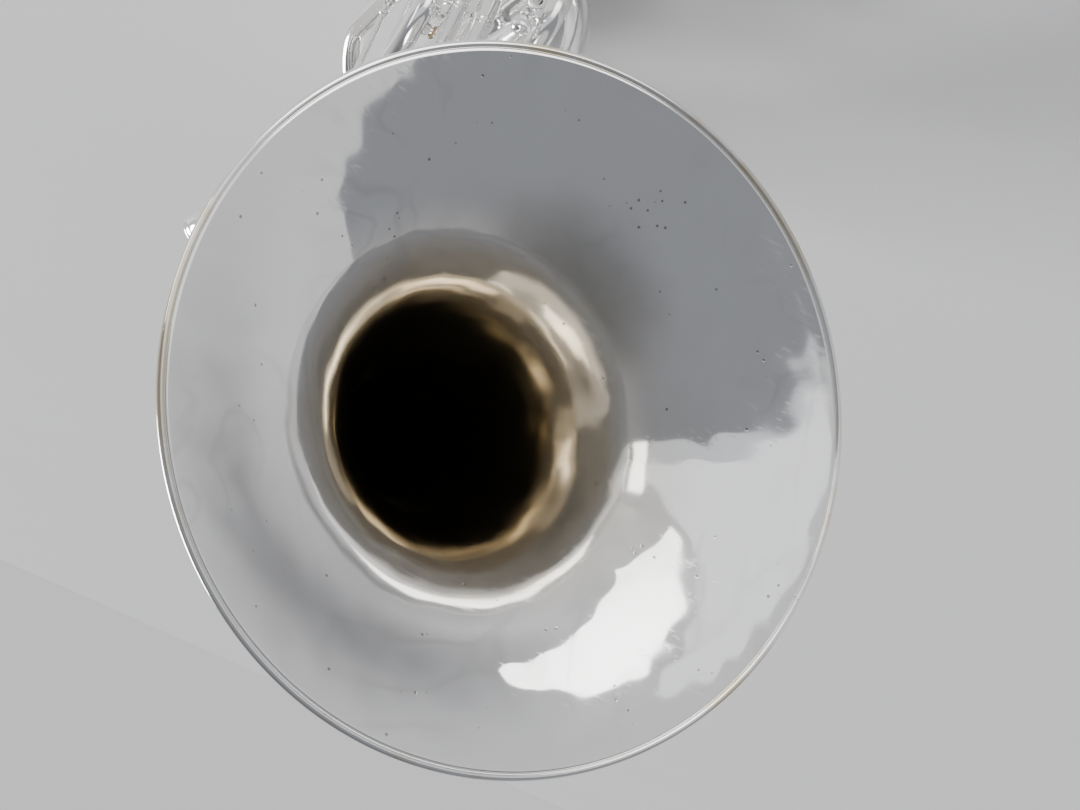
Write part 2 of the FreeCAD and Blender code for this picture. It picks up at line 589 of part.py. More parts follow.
# ---------------------------------------------------------------- leadpipe and mouthpiece
lead_back = value("dims.leadpipe_back")
keep("leadpipe", tube("leadpipe", at(value("dims.sleeve_upper_end") - 8, lead_side, lead_drop),
                      at(lead_back, lead_side, lead_drop), "dims.tube_radius", "dims.tube_wall",
                      "dims.leadpipe_start_radius"))
receiver_bore = "dims.shank_radius + dims.shank_gap"
receiver_start = at(lead_back - 12, lead_side, lead_drop)
seat = "dims.leadpipe_start_radius + 0.05"
keep("mouthpiece_receiver", turned("mouthpiece_receiver", [
    (seat, "0"), (seat + " + 0.7", "0"), ("dims.receiver_radius - 0.5", "3"),
    ("dims.receiver_radius - 0.5", "dims.receiver_length - 5"),
    ("dims.receiver_radius + 0.6", "dims.receiver_length - 4"),
    ("dims.receiver_radius + 0.6", "dims.receiver_length - 1"),
    ("dims.receiver_radius", "dims.receiver_length"), (receiver_bore, "dims.receiver_length"),
    (receiver_bore, "12"), (seat, "12")], place(receiver_start, X * -1)))
mouth_start = receiver_start - X * (value("dims.receiver_length") - value("dims.shank_length") + 1)
keep("mouthpiece", turned("mouthpiece", [
    ("3.9", "0"), ("dims.shank_radius", "0"), ("dims.shank_radius", "dims.shank_length + 4"),
    ("dims.shank_radius + 0.6", "dims.shank_length + 5"), ("5.0", "dims.shank_length + 9"),
    ("5.4", "dims.mouthpiece_length - 26"), ("7.4", "dims.mouthpiece_length - 21"),
    ("10.6", "dims.mouthpiece_length - 14"), ("11.6", "dims.mouthpiece_length - 7"),
    ("dims.mouthpiece_rim", "dims.mouthpiece_length - 4"),
    ("dims.mouthpiece_rim", "dims.mouthpiece_length - 1.4"),
    ("dims.mouthpiece_rim - 1.6", "dims.mouthpiece_length"),
    ("dims.mouthpiece_rim - 3.4", "dims.mouthpiece_length"),
    ("8.7", "dims.mouthpiece_length - 1.6"), ("8.1", "dims.mouthpiece_length - 8"),
    ("5.6", "dims.mouthpiece_length - 13"), ("1.9", "dims.mouthpiece_length - 16"),
    ("1.9", "dims.mouthpiece_length - 22")], place(mouth_start, X * -1)))

# ---------------------------------------------------------------- ferrules
large = [
    ("bell_joint", Vector(-flare_back, 0, 0), X, "%.6f" % (bell_outer(flare_back - 4.5) + 0.02)),
    ("bow_top_joint", Vector(-tail_back, 0, 0), X, "%.6f" % (bell_outer(tail_back - 4.5) + 0.02)),
    ("bow_bottom_joint", branch(tail_back - 5, bottom_drop), X, "dims.bow_end_radius + 0.02"),
    ("front_bow_joint", branch(front_back + 5, bottom_drop), X, "dims.bottom_end_radius + 0.4"),
]
keep("large_ferrules", group("large_ferrules", [
    ferrule("ferrule_" + name, middle, axis, radius) for name, middle, axis, radius in large]))
small = [
    ("branch_top", branch(front_back + 5, upper_drop)),
    ("branch_valve", branch(valve_2 - elbow - 5, upper_drop)),
    ("loop_upper", at(loop_back + 5, loop_side, loop_upper)),
    ("loop_lower", at(loop_back + 5, loop_side, loop_lower)),
    ("first_return_upper", at(first_return - 5, loop_side, loop_upper)),
    ("second_return_lower", at(second_return - 5, loop_side, loop_lower)),
    ("second_return_upper", at(second_return - 5, valve_side, port_low)),
]
keep("small_ferrules", group("small_ferrules", [
    ferrule("ferrule_" + name, middle, X) for name, middle in small]))
keep("slide_ferrules", group("slide_ferrules", [
    ferrule("ferrule_crook_upper", at(slide_back + 13.6, lead_side, lead_drop), X),
    ferrule("ferrule_crook_lower", at(slide_back + 13.6, lead_side, slide_low), X)]))

# ---------------------------------------------------------------- braces
FRONT_BRACE_BACK, REAR_BRACE_BACK = 166, 256


def bell_saddle(back):
    """The cone that fits the outside of the bell round one place, for a brace's foot."""
    ends = [bell_outer(back + SADDLE_LENGTH / 2), bell_outer(back - SADDLE_LENGTH / 2)]
    return (X, "%.6f + 0.1" % ends[0], "%.6f + 0.1" % ends[1])


keep("bell_braces", group("bell_braces", [
    brace("bell_brace_front", Vector(-FRONT_BRACE_BACK, 0, 0), branch(FRONT_BRACE_BACK, upper_drop),
          bell_saddle(FRONT_BRACE_BACK), AROUND_X),
    brace("bell_brace_rear", Vector(-REAR_BRACE_BACK, 0, 0), at(REAR_BRACE_BACK, valve_side, port_low),
          bell_saddle(REAR_BRACE_BACK), AROUND_X),
]))
bow_middle = branch(tail_back + half_drop, half_drop)
bow_middle_radius = "%.6f" % ((bell_outer(tail_back) + value("dims.bow_end_radius")) / 2 + 0.3)
keep("body_braces", group("body_braces", [
    brace("brace_leadpipe", at(REAR_BRACE_BACK, lead_side, lead_drop),
          at(REAR_BRACE_BACK, valve_side, lead_drop), (X, "dims.tube_radius - 0.02"), AROUND_X),
    brace("brace_mouthpipe", at(tail_back + half_drop, lead_side, lead_drop), bow_middle,
          (X, "dims.leadpipe_start_radius + 0.14"), (DOWN, bow_middle_radius)),
    brace("brace_sleeves", at(206, lead_side, lead_drop), at(206, lead_side, slide_low),
          AROUND_SLEEVE, AROUND_SLEEVE),
    post("post_bottom", branch(200, bottom_drop), at(200, loop_side, loop_lower),
          (X, "9.2"), AROUND_X),
]))

# ---------------------------------------------------------------- water key
key_rise = slide_low - slide_bend - value("dims.key_drop")
key_lean = math.asin(key_rise / slide_bend)
SPOKE = Vector(math.cos(key_lean), 0, math.sin(key_lean))
ALONG = Vector(math.sin(key_lean), 0, -math.cos(key_lean))
key_middle = at(slide_back, lead_side, lead_drop + slide_bend) + SPOKE * slide_bend
key_seat = key_middle + Y * (value("dims.tube_radius") + 3.2)


def key_point(along, spoke=0.0, lift=0.0):
    """A point by the nipple's mouth: along the lever, across it, and out from the tube."""
    return key_seat + ALONG * along + SPOKE * spoke + Y * lift


def key_block(name, along, spoke, lift, length, width, height):
    """A block in the water key's own directions, from its low corner."""
    item = doc.addObject("Part::Box", name)
    item.setExpression("Length", length)
    item.setExpression("Width", width)
    item.setExpression("Height", height)
    item.Placement = place(key_point(along, -spoke, lift), Y, ALONG)
    return item


hinge = value("dims.key_hinge_reach")
lug_gap, lug_wall = value("dims.key_lug_gap"), value("dims.key_lug_wall")
crook_solid = doc.addObject("Part::Torus", "key_crook_solid")
crook_solid.setExpression("Radius1", "dims.slide_bend")
crook_solid.setExpression("Radius2", "dims.tube_radius")
crook_solid.Placement = place(at(slide_back, lead_side, lead_drop + slide_bend), Y)
pin_place = place(key_point(hinge, -lug_gap - lug_wall - 0.6, 0), SPOKE)
nipple = cylinder("key_nipple", "dims.key_nipple_radius", "5", place(key_seat - Y * 5, Y))
lugs = [key_block("key_lug_%d" % index, hinge - 2.4, spoke, -6.6, "4.8", "dims.key_lug_wall", "8.8")
        for index, spoke in enumerate((-lug_gap - lug_wall, lug_gap))]
saddle_cuts = fuse("key_saddle_cuts", [
    crook_solid, cylinder("key_nipple_hole", "dims.key_nipple_bore", "8", place(key_seat - Y * 7, Y)),
    cylinder("key_lug_hole", "dims.key_pin_radius", "12", place(key_point(hinge, -6, 0), SPOKE))])
plate = key_block("key_plate", hinge - 2.4, -lug_gap - lug_wall, -6.6,
                  "4.8", "2 * (dims.key_lug_gap + dims.key_lug_wall)", "4")
saddle_body = fuse("key_saddle_body", [nipple, plate] + lugs)
keep("water_key_saddle", cut("water_key_saddle", saddle_body, saddle_cuts))
keep("water_key_pin", turned("water_key_pin", [
    ("0", "0"), ("1.8", "0"), ("1.8", "0.6"), ("dims.key_pin_radius", "0.6"),
    ("dims.key_pin_radius", "0.6 + 2 * (dims.key_lug_gap + dims.key_lug_wall) + 0.5"),
    ("0", "0.6 + 2 * (dims.key_lug_gap + dims.key_lug_wall) + 0.5")], pin_place))
barrel_half, thumb = value("dims.key_barrel_half"), value("dims.key_thumb_reach")
arm_half = value("dims.key_arm_width") / 2
lever_pieces = [
    cylinder("key_barrel", "dims.key_barrel_radius", "2 * dims.key_barrel_half",
             place(key_point(hinge, -barrel_half, 0), SPOKE)),
    key_block("key_arm", 0, -arm_half, 1.3, "dims.key_thumb_reach", "dims.key_arm_width",
              "dims.key_arm_thickness"),
    cylinder("key_cup", "dims.key_cup_radius", "2.2", place(key_point(0, 0, 0.9), Y)),
    cylinder("key_thumb", "dims.key_thumb_radius", "dims.key_arm_thickness",
             place(key_point(thumb, 0, 1.3), Y)),
]
lever_cuts = [
    cylinder("key_cork_pocket", "dims.key_cork_radius + 0.03", "1.1", place(key_point(0, 0, 0.9), Y)),
    cylinder("key_barrel_hole", "dims.key_pin_radius + dims.key_gap", "12",
             place(key_point(hinge, -6, 0), SPOKE)),
]
keep("water_key_lever", cut("water_key_lever", fuse("key_lever_body", lever_pieces),
                            fuse("key_lever_cuts", lever_cuts)))
keep("water_key_cork", turned("water_key_cork", [
    ("0", "0"), ("dims.key_cork_radius - 0.4", "0"), ("dims.key_cork_radius", "0.4"),
    ("dims.key_cork_radius", "1.9"), ("0", "1.9")], place(key_point(0, 0, 0.08), Y)))
coils = []
for index in range(3):
    coil = doc.addObject("Part::Torus", "key_coil_%d" % index)
    coil.setExpression("Radius1", "dims.key_coil_bend")
    coil.setExpression("Radius2", "dims.key_coil_wire")
    coil.Placement = place(key_point(hinge, barrel_half + 0.45 + index * 0.55, 0), SPOKE)
    coils.append(coil)
coils.append(cylinder("key_spring_tail", "dims.key_coil_wire", "9",
                      place(key_point(hinge, barrel_half + 0.45, 1.5), ALONG)))
keep("water_key_spring", fuse("water_key_spring", coils))

# ---------------------------------------------------------------- finger hook and lyre socket
hook_back, hook_bend = value("dims.hook_back"), value("dims.hook_bend")
hook_middle = at(hook_back, lead_side, lead_drop) + Z * (value(SLEEVE_OUTER) + hook_bend)
hook_arc = doc.addObject("Part::Torus", "hook_arc")
hook_arc.setExpression("Radius1", "dims.hook_bend")
hook_arc.setExpression("Radius2", "dims.hook_radius")
hook_arc.Angle3 = 215
hook_arc.Placement = place(hook_middle, Y * -1, Z * -1)
hook_tip = doc.addObject("Part::Sphere", "hook_tip")
hook_tip.setExpression("Radius", "dims.hook_radius + 0.7")
tip_turn = math.radians(215)
hook_tip.Placement.Base = hook_middle + Vector(math.sin(tip_turn), 0, -math.cos(tip_turn)) * hook_bend
hook_foot = cylinder("hook_foot", "dims.flange_radius", "3", place(hook_middle - Z * (hook_bend + 1.6), Z))
sleeve_solid = cylinder("hook_sleeve_solid", SLEEVE_OUTER, "40",
                        place(at(hook_back + 20, lead_side, lead_drop), X))
keep("finger_hook", cut("finger_hook", fuse("hook_body", [hook_arc, hook_tip, hook_foot]), sleeve_solid))

lyre_side, lyre_drop = value("dims.lyre_side"), value("dims.lyre_drop")
lyre_mouth = at(value("dims.lyre_mouth_back"), lyre_side, lyre_drop)
lyre_length, lyre_outer = value("dims.lyre_length"), "dims.lyre_bore + dims.lyre_wall"
screw_middle = lyre_mouth - X * 9
web = doc.addObject("Part::Box", "lyre_web")
web.setExpression("Length", "dims.lyre_web_length")
web.setExpression("Height", "dims.lyre_web_height")
web.setExpression("Width", "dims.lyre_side - dims.loop_side - dims.tube_radius - dims.lyre_web_inset")
web.Placement.Base = at(value("dims.lyre_web_back"), lyre_side - value("dims.lyre_web_inset"),
                        lyre_drop + value("dims.lyre_web_height") / 2)
lyre_body = fuse("lyre_body", [
    cylinder("lyre_tube", lyre_outer, "dims.lyre_length", place(lyre_mouth - X * lyre_length, X)), web,
    cylinder("lyre_lip", lyre_outer + " + 0.8", "3", place(lyre_mouth - X * 3, X)),
    cylinder("lyre_boss", "3", "6.2", place(screw_middle, Z))])
lyre_cuts = fuse("lyre_cuts", [
    cylinder("lyre_hole", "dims.lyre_bore", "dims.lyre_length + 2",
             place(lyre_mouth - X * (lyre_length + 1), X)),
    cylinder("lyre_screw_hole", "dims.screw_radius + dims.screw_gap", "20", place(screw_middle, Z))])
keep("lyre_socket", cut("lyre_socket", lyre_body, lyre_cuts))
head = "dims.screw_head_radius"
keep("lyre_screw", turned("lyre_screw", [
    ("0", "0"), ("dims.screw_radius", "0"), ("dims.screw_radius", "4"), ("2.6", "4"),
    (head + " - 1.2", "5.2"), (head, "7.2"), (head, "10"), (head + " - 1.2", "12"), ("2.6", "13.2"),
    ("0", "13.2")], place(screw_middle + Z * (value("dims.lyre_bore") + 0.1), Z)))

doc.recompute()

# Set the instrument down: lowest point at Z = 0, box centred over the origin.
box = FreeCAD.BoundBox()
for item in nodes.values():
    box.add(item.Shape.optimalBoundingBox(False))
shift = Vector(-box.Center.x, 0, -box.ZMin)
for label, item in list(nodes.items()):
    item.Placement = FreeCAD.Placement(shift, FreeCAD.Rotation()) * item.Placement
    item.Label = label + "_drawn"
    mirrored = doc.addObject("Part::Mirroring", label + "_mirrored")
    mirrored.Source = item
    mirrored.Normal = Y
    keep(label, mirrored)
doc.recompute()

for item in doc.Objects:
    if "Invalid" in item.State or "Error" in item.State:
        raise SystemExit("%s failed: %s" % (item.Label, item.State))
for label, item in nodes.items():
    if item.Shape.isNull() or not item.Shape.isValid() or item.Shape.Volume < 1:
        raise SystemExit("%s has no valid shape" % label)
print("size %.1f x %.1f x %.1f, moved by %.3f %.3f %.3f, %d nodes" % (
    box.XLength, box.YLength, box.ZLength, shift.x, shift.y, shift.z, len(nodes)))

os.makedirs("parts", exist_ok=True)
for label, item in nodes.items():
    item.Shape.exportStep("parts/%s.step" % label)
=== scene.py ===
"""Looks for the two-valve marching bugle: every packed tube, valve part and fitting gets its
finished surface here, in the CAD's own frame.

Lengths in the shape code are millimetres in the instrument's own terms: how far back from the
bell's rim, how far to one side (side) and how far below the bell's axis (drop). Everything is
drawn with the tubing on the -Y side and then mirrored, as the CAD is.
"""
import math

import bmesh
import bpy
import numpy as np
from mathutils import Matrix, Quaternion, Vector, noise
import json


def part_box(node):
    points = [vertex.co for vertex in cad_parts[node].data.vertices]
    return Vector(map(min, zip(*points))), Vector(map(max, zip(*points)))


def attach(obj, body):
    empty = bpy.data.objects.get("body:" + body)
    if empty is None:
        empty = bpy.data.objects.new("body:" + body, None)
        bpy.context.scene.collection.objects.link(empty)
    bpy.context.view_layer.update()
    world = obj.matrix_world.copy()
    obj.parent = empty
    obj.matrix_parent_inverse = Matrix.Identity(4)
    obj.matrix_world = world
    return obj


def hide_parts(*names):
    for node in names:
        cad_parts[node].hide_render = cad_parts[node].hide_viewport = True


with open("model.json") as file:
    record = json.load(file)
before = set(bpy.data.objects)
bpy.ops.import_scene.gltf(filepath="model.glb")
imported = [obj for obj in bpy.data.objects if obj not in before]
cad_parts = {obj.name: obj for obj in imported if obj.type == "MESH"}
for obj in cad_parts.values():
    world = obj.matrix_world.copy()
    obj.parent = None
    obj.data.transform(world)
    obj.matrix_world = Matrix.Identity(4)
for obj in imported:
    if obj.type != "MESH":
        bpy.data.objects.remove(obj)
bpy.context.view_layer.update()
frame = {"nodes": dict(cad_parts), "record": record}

MM = 0.001
TUBE, WALL = 5.6, 0.5
SLEEVE_BORE = TUBE + 0.04
SLEEVE_OUTER = SLEEVE_BORE + 0.55
PORT = TUBE + 0.5
BELL_RADIUS, THROAT, FLARE_LENGTH, FLARE_POWER, TAIL = 146.8, 13.5, 60.0, 1.5, 265.0
X, Y, Z = Vector((1, 0, 0)), Vector((0, 1, 0)), Vector((0, 0, 1))
TILT = math.radians(5)
DOWN = Vector((0, -math.sin(TILT), -math.cos(TILT)))
HORN = "horn_body"

wire_low, wire_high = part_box("bell_rim_wire")
RIM_CENTRE = (wire_low + wire_high) / 2 / MM + Vector((0.2, 0, 0))


# ---------------------------------------- places
def at(back, side=0.0, drop=0.0):
    """A place in millimetres from the middle of the bell's rim."""
    return Vector((-back, -side, -drop))


def branch(back, drop):
    """A place on the tilted plane that the bell's own branch lies in."""
    return Vector((-back, 0, 0)) + DOWN * drop


# ---------------------------------------- shapes
def grid(rings, closed=False):
    """(points, faces) of a stack of equal rings; closed joins the last ring to the first."""
    rings = np.asarray(rings, float)
    count, around = rings.shape[:2]
    faces = []
    for row in range(count if closed else count - 1):
        low, high = row * around, ((row + 1) % count) * around
        for index in range(around):
            after = (index + 1) % around
            faces.append((low + index, low + after, high + after, high + index))
    return rings.reshape(-1, 3), faces


def joined(*shells):
    """Several (points, faces) as one."""
    points, faces, total = [], [], 0
    for shell_points, shell_faces in shells:
        points.append(np.asarray(shell_points, float))
        faces += [tuple(index + total for index in face) for face in shell_faces]
        total += len(shell_points)
    return np.concatenate(points), faces


def side_axes(axis, side=None):
    """Two directions square to an axis."""
    axis = Vector(axis).normalized()
    if side is None:
        side = X if abs(axis.x) < 0.9 else Z
    first = (Vector(side) - axis * Vector(side).dot(axis)).normalized()
    return first, axis.cross(first)


def rounded(outline, size=0.3, steps=4):
    """The outline with its corners eased; a third number in a corner gives its own size."""
    made = []
    count = len(outline)
    for index, corner in enumerate(outline):
        here = Vector(corner[:2])
        before = Vector(outline[index - 1][:2]) - here
        after = Vector(outline[(index + 1) % count][:2]) - here
        ease = corner[2] if len(corner) > 2 else size
        if ease <= 0 or here.x < 1e-6 or before.length < 1e-6 or after.length < 1e-6:
            made.append((here.x, here.y))
            continue
        start = here + before * min(ease / before.length, 0.45)
        end = here + after * min(ease / after.length, 0.45)
        for step in range(steps + 1):
            t = step / steps
            point = start * (1 - t) ** 2 + here * (2 * t * (1 - t)) + end * t ** 2
            made.append((point.x, point.y))
    return made


def lathe(outline, origin, axis, steps=72, ripple=None):
    """A closed outline of (radius, height) turned about an axis."""
    first, second = side_axes(axis)
    axis, origin = Vector(axis).normalized(), Vector(origin)
    angles = np.linspace(0, 2 * math.pi, steps, endpoint=False)
    out = np.outer(np.cos(angles), first) + np.outer(np.sin(angles), second)
    rings = []
    for radius, height in outline:
        spread = np.full(steps, radius) if ripple is None else radius + ripple(angles, radius, height)
        rings.append(np.array(origin + axis * height) + out * spread[:, None])
    return grid(rings, closed=True)


def turned(outline, origin, axis, steps=72, ripple=None, ease=0.3, ease_steps=4):
    """A lathe shape whose outline has its corners eased."""
    return lathe(rounded(outline, ease, ease_steps), origin, axis, steps, ripple)


def line(start, end, count=2):
    """Points along a straight run."""
    start, end = Vector(start), Vector(end)
    return [start.lerp(end, index / (count - 1)) for index in range(count)]


def arc(centre, first, second, angle=math.pi, count=49):
    """Points on an arc that starts at centre + first and turns towards second."""
    return [Vector(centre) + Vector(first) * math.cos(angle * index / (count - 1))
            + Vector(second) * math.sin(angle * index / (count - 1)) for index in range(count)]


def half_turn(start, end, direction, count=49):
    """Points on the half circle that joins two places, bulging along direction."""
    start, end = Vector(start), Vector(end)
    centre = (start + end) / 2
    return arc(centre, start - centre, Vector(direction) * (start - centre).length, math.pi, count)


def sweep(path, radius=TUBE, wall=WALL, steps=48, flat=1.0, side=None):
    """A tube along a path; radius is a number or one for each point, flat squashes it."""
    path = [Vector(point) for point in path]
    count = len(path)
    radii = radius if hasattr(radius, "__len__") else [radius] * count
    heading = (path[1] - path[0]).normalized()
    first, _ = side_axes(heading, side)
    angles = np.linspace(0, 2 * math.pi, steps, endpoint=False)
    outer, inner = [], []
    for index, point in enumerate(path):
        ahead = (path[min(index + 1, count - 1)] - path[max(index - 1, 0)]).normalized()
        first = (first - ahead * first.dot(ahead)).normalized()
        second = ahead.cross(first)
        out = np.outer(np.cos(angles), first) + np.outer(np.sin(angles) * flat, second)
        outer.append(np.array(point) + out * radii[index])
        if wall:
            inner.append(np.array(point) + out * (radii[index] - wall))
    if wall:
        return grid(outer + inner[::-1], closed=True)
    start, end = (np.tile(np.array(place), (steps, 1)) for place in (path[0], path[-1]))
    return grid([start] + outer + [end])


def ball(centre, radius, rows=24):
    """A round knob."""
    angles = [math.pi * row / rows for row in range(rows + 1)]
    return lathe([(radius * math.sin(angle), -radius * math.cos(angle)) for angle in angles], centre, Z, 40)


def ferrule(middle, axis, radius=TUBE, length=9.0, wall=0.8):
    """A sleeve soldered over a joint, with a bead at each end."""
    half, low, high = length / 2, radius + wall * 0.6, radius + wall * 1.4
    outline = [(radius - 0.25, -half, 0), (radius + 0.25, -half, 0.15), (high, -half + 0.5, 0.6),
               (high, -half + 1.5, 0.6), (low, -half + 2.1, 0.35), (low, half - 2.1, 0.35),
               (high, half - 1.5, 0.6), (high, half - 0.5, 0.6), (radius + 0.25, half, 0.15),
               (radius - 0.25, half, 0)]
    return turned(outline, middle, axis, 96)


def foot(middle, out, along, radius, size=4.2, thick=0.9, steps=36):
    """A small round plate that wraps over the outside of a tube."""
    out, along = Vector(out).normalized(), Vector(along).normalized()
    along = (along - out * along.dot(out)).normalized()
    across = out.cross(along)
    rings = []
    for share, lift in ((0, thick), (0.5, thick), (0.82, thick), (0.93, thick * 0.9), (0.985, thick * 0.6),
                        (1, thick * 0.2), (1, -0.3), (0.8, -0.3), (0, -0.3)):
        ring = []
        for index in range(steps):
            turn = 2 * math.pi * index / steps
            u, v = share * size * math.cos(turn), share * size * math.sin(turn)
            height = math.sqrt(max((radius + lift) ** 2 - v * v, 0.0))
            ring.append(middle + along * u + across * v + out * height)
        rings.append([tuple(point) for point in ring])
    return grid(rings)


def brace(start, end, start_tube, end_tube, rod=1.7):
    """A turned rod between two tubes; a tube is (direction, radius)."""
    start, end = Vector(start), Vector(end)
    axis = (end - start).normalized()
    first, last = start_tube[1] + 0.2, (end - start).length - end_tube[1] - 0.2
    outline = [(0, first), (3.0, first, 0), (2.5, first + 1.3, 0.5), (rod + 0.05, first + 2.4, 0.8)]
    if last - first > 24:
        for centre in (first + 6.5, last - 6.5):
            outline += [(rod, centre - 1.5, 0.1), (rod + 0.8, centre - 1.0, 0.5),
                        (rod + 0.8, centre + 1.0, 0.5), (rod, centre + 1.5, 0.1)]
    outline += [(rod + 0.05, last - 2.4, 0.8), (2.5, last - 1.3, 0.5), (3.0, last, 0), (0, last)]
    rod_body = turned(outline, start, axis, 40)
    return joined(rod_body, foot(start, axis, *start_tube), foot(end, -axis, *end_tube))


# ---------------------------------------- materials
class Surface:
    """A node material, with short calls for its nodes."""

    def __init__(self, name, **sockets):
        self.material = bpy.data.materials.new(name)
        self.material.use_nodes = True
        self.tree = self.material.node_tree
        self.shader = self.tree.nodes["Principled BSDF"]
        for socket, number in sockets.items():
            self.shader.inputs[socket.replace("_", " ")].default_value = number
        self.place = self.tree.nodes.new("ShaderNodeTexCoord").outputs["Object"]
        self.bumps = []

    def add(self, kind, inputs, output=0, **settings):
        """A node with its inputs linked or set; gives the socket that comes out of it."""
        made = self.tree.nodes.new("ShaderNode" + kind)
        for setting, choice in settings.items():
            setattr(made, setting, choice)
        for key, source in inputs.items():
            if isinstance(source, bpy.types.NodeSocket):
                self.tree.links.new(source, made.inputs[key])
            else:
                made.inputs[key].default_value = source
        return made.outputs[output]

    def noise(self, scale, detail=3.0, rough=0.55, stretch=(1, 1, 1), turn=(0, 0, 0), twist=0.0):
        """Smooth noise; stretch squeezes it along each of the object's own axes."""
        spot = self.add("Mapping", {"Vector": self.place, "Rotation": turn, "Scale": stretch})
        return self.add("TexNoise", {"Vector": spot, "Scale": scale, "Detail": detail,
                                     "Roughness": rough, "Distortion": twist})

    def remap(self, source, low, high, new_low, new_high):
        """A value moved from one range to another, and held inside it."""
        return self.add("MapRange", {"Value": source, "From Min": low, "From Max": high,
                                     "To Min": new_low, "To Max": new_high})

    def mix(self, share, first, second):
        """A blend of two colours."""
        return self.add("Mix", {0: share, 6: first, 7: second}, 2, data_type="RGBA")

    def math(self, operation, first, second=0.0):
        """One sum."""
        return self.add("Math", {0: first, 1: second}, operation=operation)

    def bump(self, height, strength, distance):
        """One more layer of relief over those before it."""
        inputs = {"Height": height, "Strength": strength, "Distance": distance}
        if self.bumps:
            inputs["Normal"] = self.bumps[-1]
        self.bumps.append(self.add("Bump", inputs))

    def finish(self, **sources):
        """Links what the shader reads, and gives the material."""
        for socket, source in sources.items():
            self.tree.links.new(source, self.shader.inputs[socket.replace("_", " ")])
        if self.bumps:
            self.tree.links.new(self.bumps[-1], self.shader.inputs["Normal"])
        return self.material


def wear(surface, low, high):
    """Polished metal's roughness: wiping smudges, and fine hairlines in two directions."""
    smudge = surface.remap(surface.noise(26, 5, 0.6, twist=0.8), 0.35, 0.72, low, high)
    hairs = []
    for turn in ((0.3, 0.9, 0.2), (1.1, 0.2, 1.4)):
        hair = surface.noise(420, 2, 0.5, stretch=(1, 0.04, 1), turn=turn)
        hairs.append(surface.remap(hair, 0.63, 0.68, 0, 1))
    lines = surface.math("MAXIMUM", hairs[0], hairs[1])
    surface.bump(lines, 0.05, 0.00002)
    return surface.math("ADD", smudge, surface.math("MULTIPLY", lines, 0.05))


def pits(surface, scale, share, depth):
    """Sparse small pits: 1 in a pit and 0 elsewhere."""
    cells = surface.add("TexVoronoi", {"Vector": surface.place, "Scale": scale})
    dots = surface.remap(cells, 0.10, 0.17, 1, 0)
    few = surface.remap(surface.noise(scale * 0.23, 2), share, share + 0.02, 0, 1)
    spots = surface.math("MULTIPLY", dots, few)
    surface.bump(spots, 0.5, -depth)
    return spots


def silver(name, start=0.5, full=0.8, most=0.5):
    """Silver plate over brass, with a few worn spots and warm tarnish.

    Tarnish starts where its noise passes start, and reaches the share most at full.
    """
    surface = Surface(name, Metallic=1.0)
    rough = wear(surface, 0.055, 0.15)
    tarnish = surface.remap(surface.noise(17, 5, 0.62, twist=0.5), start, full, 0, most)
    colour = surface.mix(tarnish, (0.92, 0.915, 0.90, 1), (0.80, 0.715, 0.555, 1))
    spots = pits(surface, 330, 0.62, 0.00004)
    colour = surface.mix(surface.math("MULTIPLY", spots, 0.7), colour, (0.30, 0.22, 0.13, 1))
    return surface.finish(Base_Color=colour, Roughness=rough)


def bell_inside(name):
    """The bell's inner face: bright plate at the rim, turning to old gold towards the throat, then darker
    still deeper in, which is partly tarnish and partly painted shade of the throat.
    """
    surface = Surface(name, Metallic=1.0)
    rough = wear(surface, 0.035, 0.10)
    forward = surface.add("SeparateXYZ", {"Vector": surface.place})
    sway = surface.remap(surface.noise(20, 3), 0.3, 0.7, -0.007, 0.007)
    depth = surface.math("ADD", surface.math("SUBTRACT", RIM_CENTRE.x * MM, forward), sway)
    warm = surface.remap(depth, 0.020, 0.058, 0, 1)
    # Deeper in the throat the colour darkens: partly old tarnish, partly painted shade where little light
    # reaches.
    deep_tarnish_and_shade = surface.remap(depth, 0.070, 0.20, 0, 1)
    tarnish = surface.remap(surface.noise(13, 5, 0.6, twist=0.6), 0.45, 0.8, 0, 0.4)
    colour = surface.mix(tarnish, (0.90, 0.90, 0.895, 1), (0.84, 0.81, 0.76, 1))
    colour = surface.mix(warm, colour, (0.73, 0.67, 0.57, 1))
    colour = surface.mix(deep_tarnish_and_shade, colour, (0.56, 0.51, 0.40, 1))
    # Wavy grey contour lines like wood grain, painted into the colour: painted reflection streaks of the
    # surroundings.
    bands = surface.math("MULTIPLY", surface.noise(8, 3, 0.5, twist=0.7), 22.0)
    contour = surface.math("PINGPONG", bands, 1.0)
    painted_reflection_streaks = surface.remap(contour, 0.0, 0.35, 1, 0)
    painted_reflection_streaks = surface.math("MULTIPLY", painted_reflection_streaks, surface.remap(surface.noise(11, 2), 0.42, 0.6, 0, 0.55))
    colour = surface.mix(painted_reflection_streaks, colour, (0.66, 0.65, 0.63, 1))
    spots = pits(surface, 210, 0.60, 0.00006)
    colour = surface.mix(surface.math("MULTIPLY", spots, 0.75), colour, (0.22, 0.17, 0.11, 1))
    rough = surface.math("ADD", rough, surface.math("MULTIPLY", warm, 0.03))
    rough = surface.math("ADD", rough, surface.math("MULTIPLY", deep_tarnish_and_shade, 0.10))
    return surface.finish(Base_Color=colour, Roughness=rough)


def monel(name):
    """Drawn monel: satin, with fine rings round the piston and stem."""
    surface = Surface(name, Metallic=1.0)
    rings = surface.noise(900, 2, 0.5, stretch=(0.05, 0.05, 1))
    surface.bump(rings, 0.12, 0.00004)
    colour = surface.mix(surface.noise(60, 4), (0.66, 0.65, 0.62, 1), (0.56, 0.55, 0.51, 1))
    return surface.finish(Base_Color=colour, Roughness=surface.remap(rings, 0.3, 0.7, 0.18, 0.30))


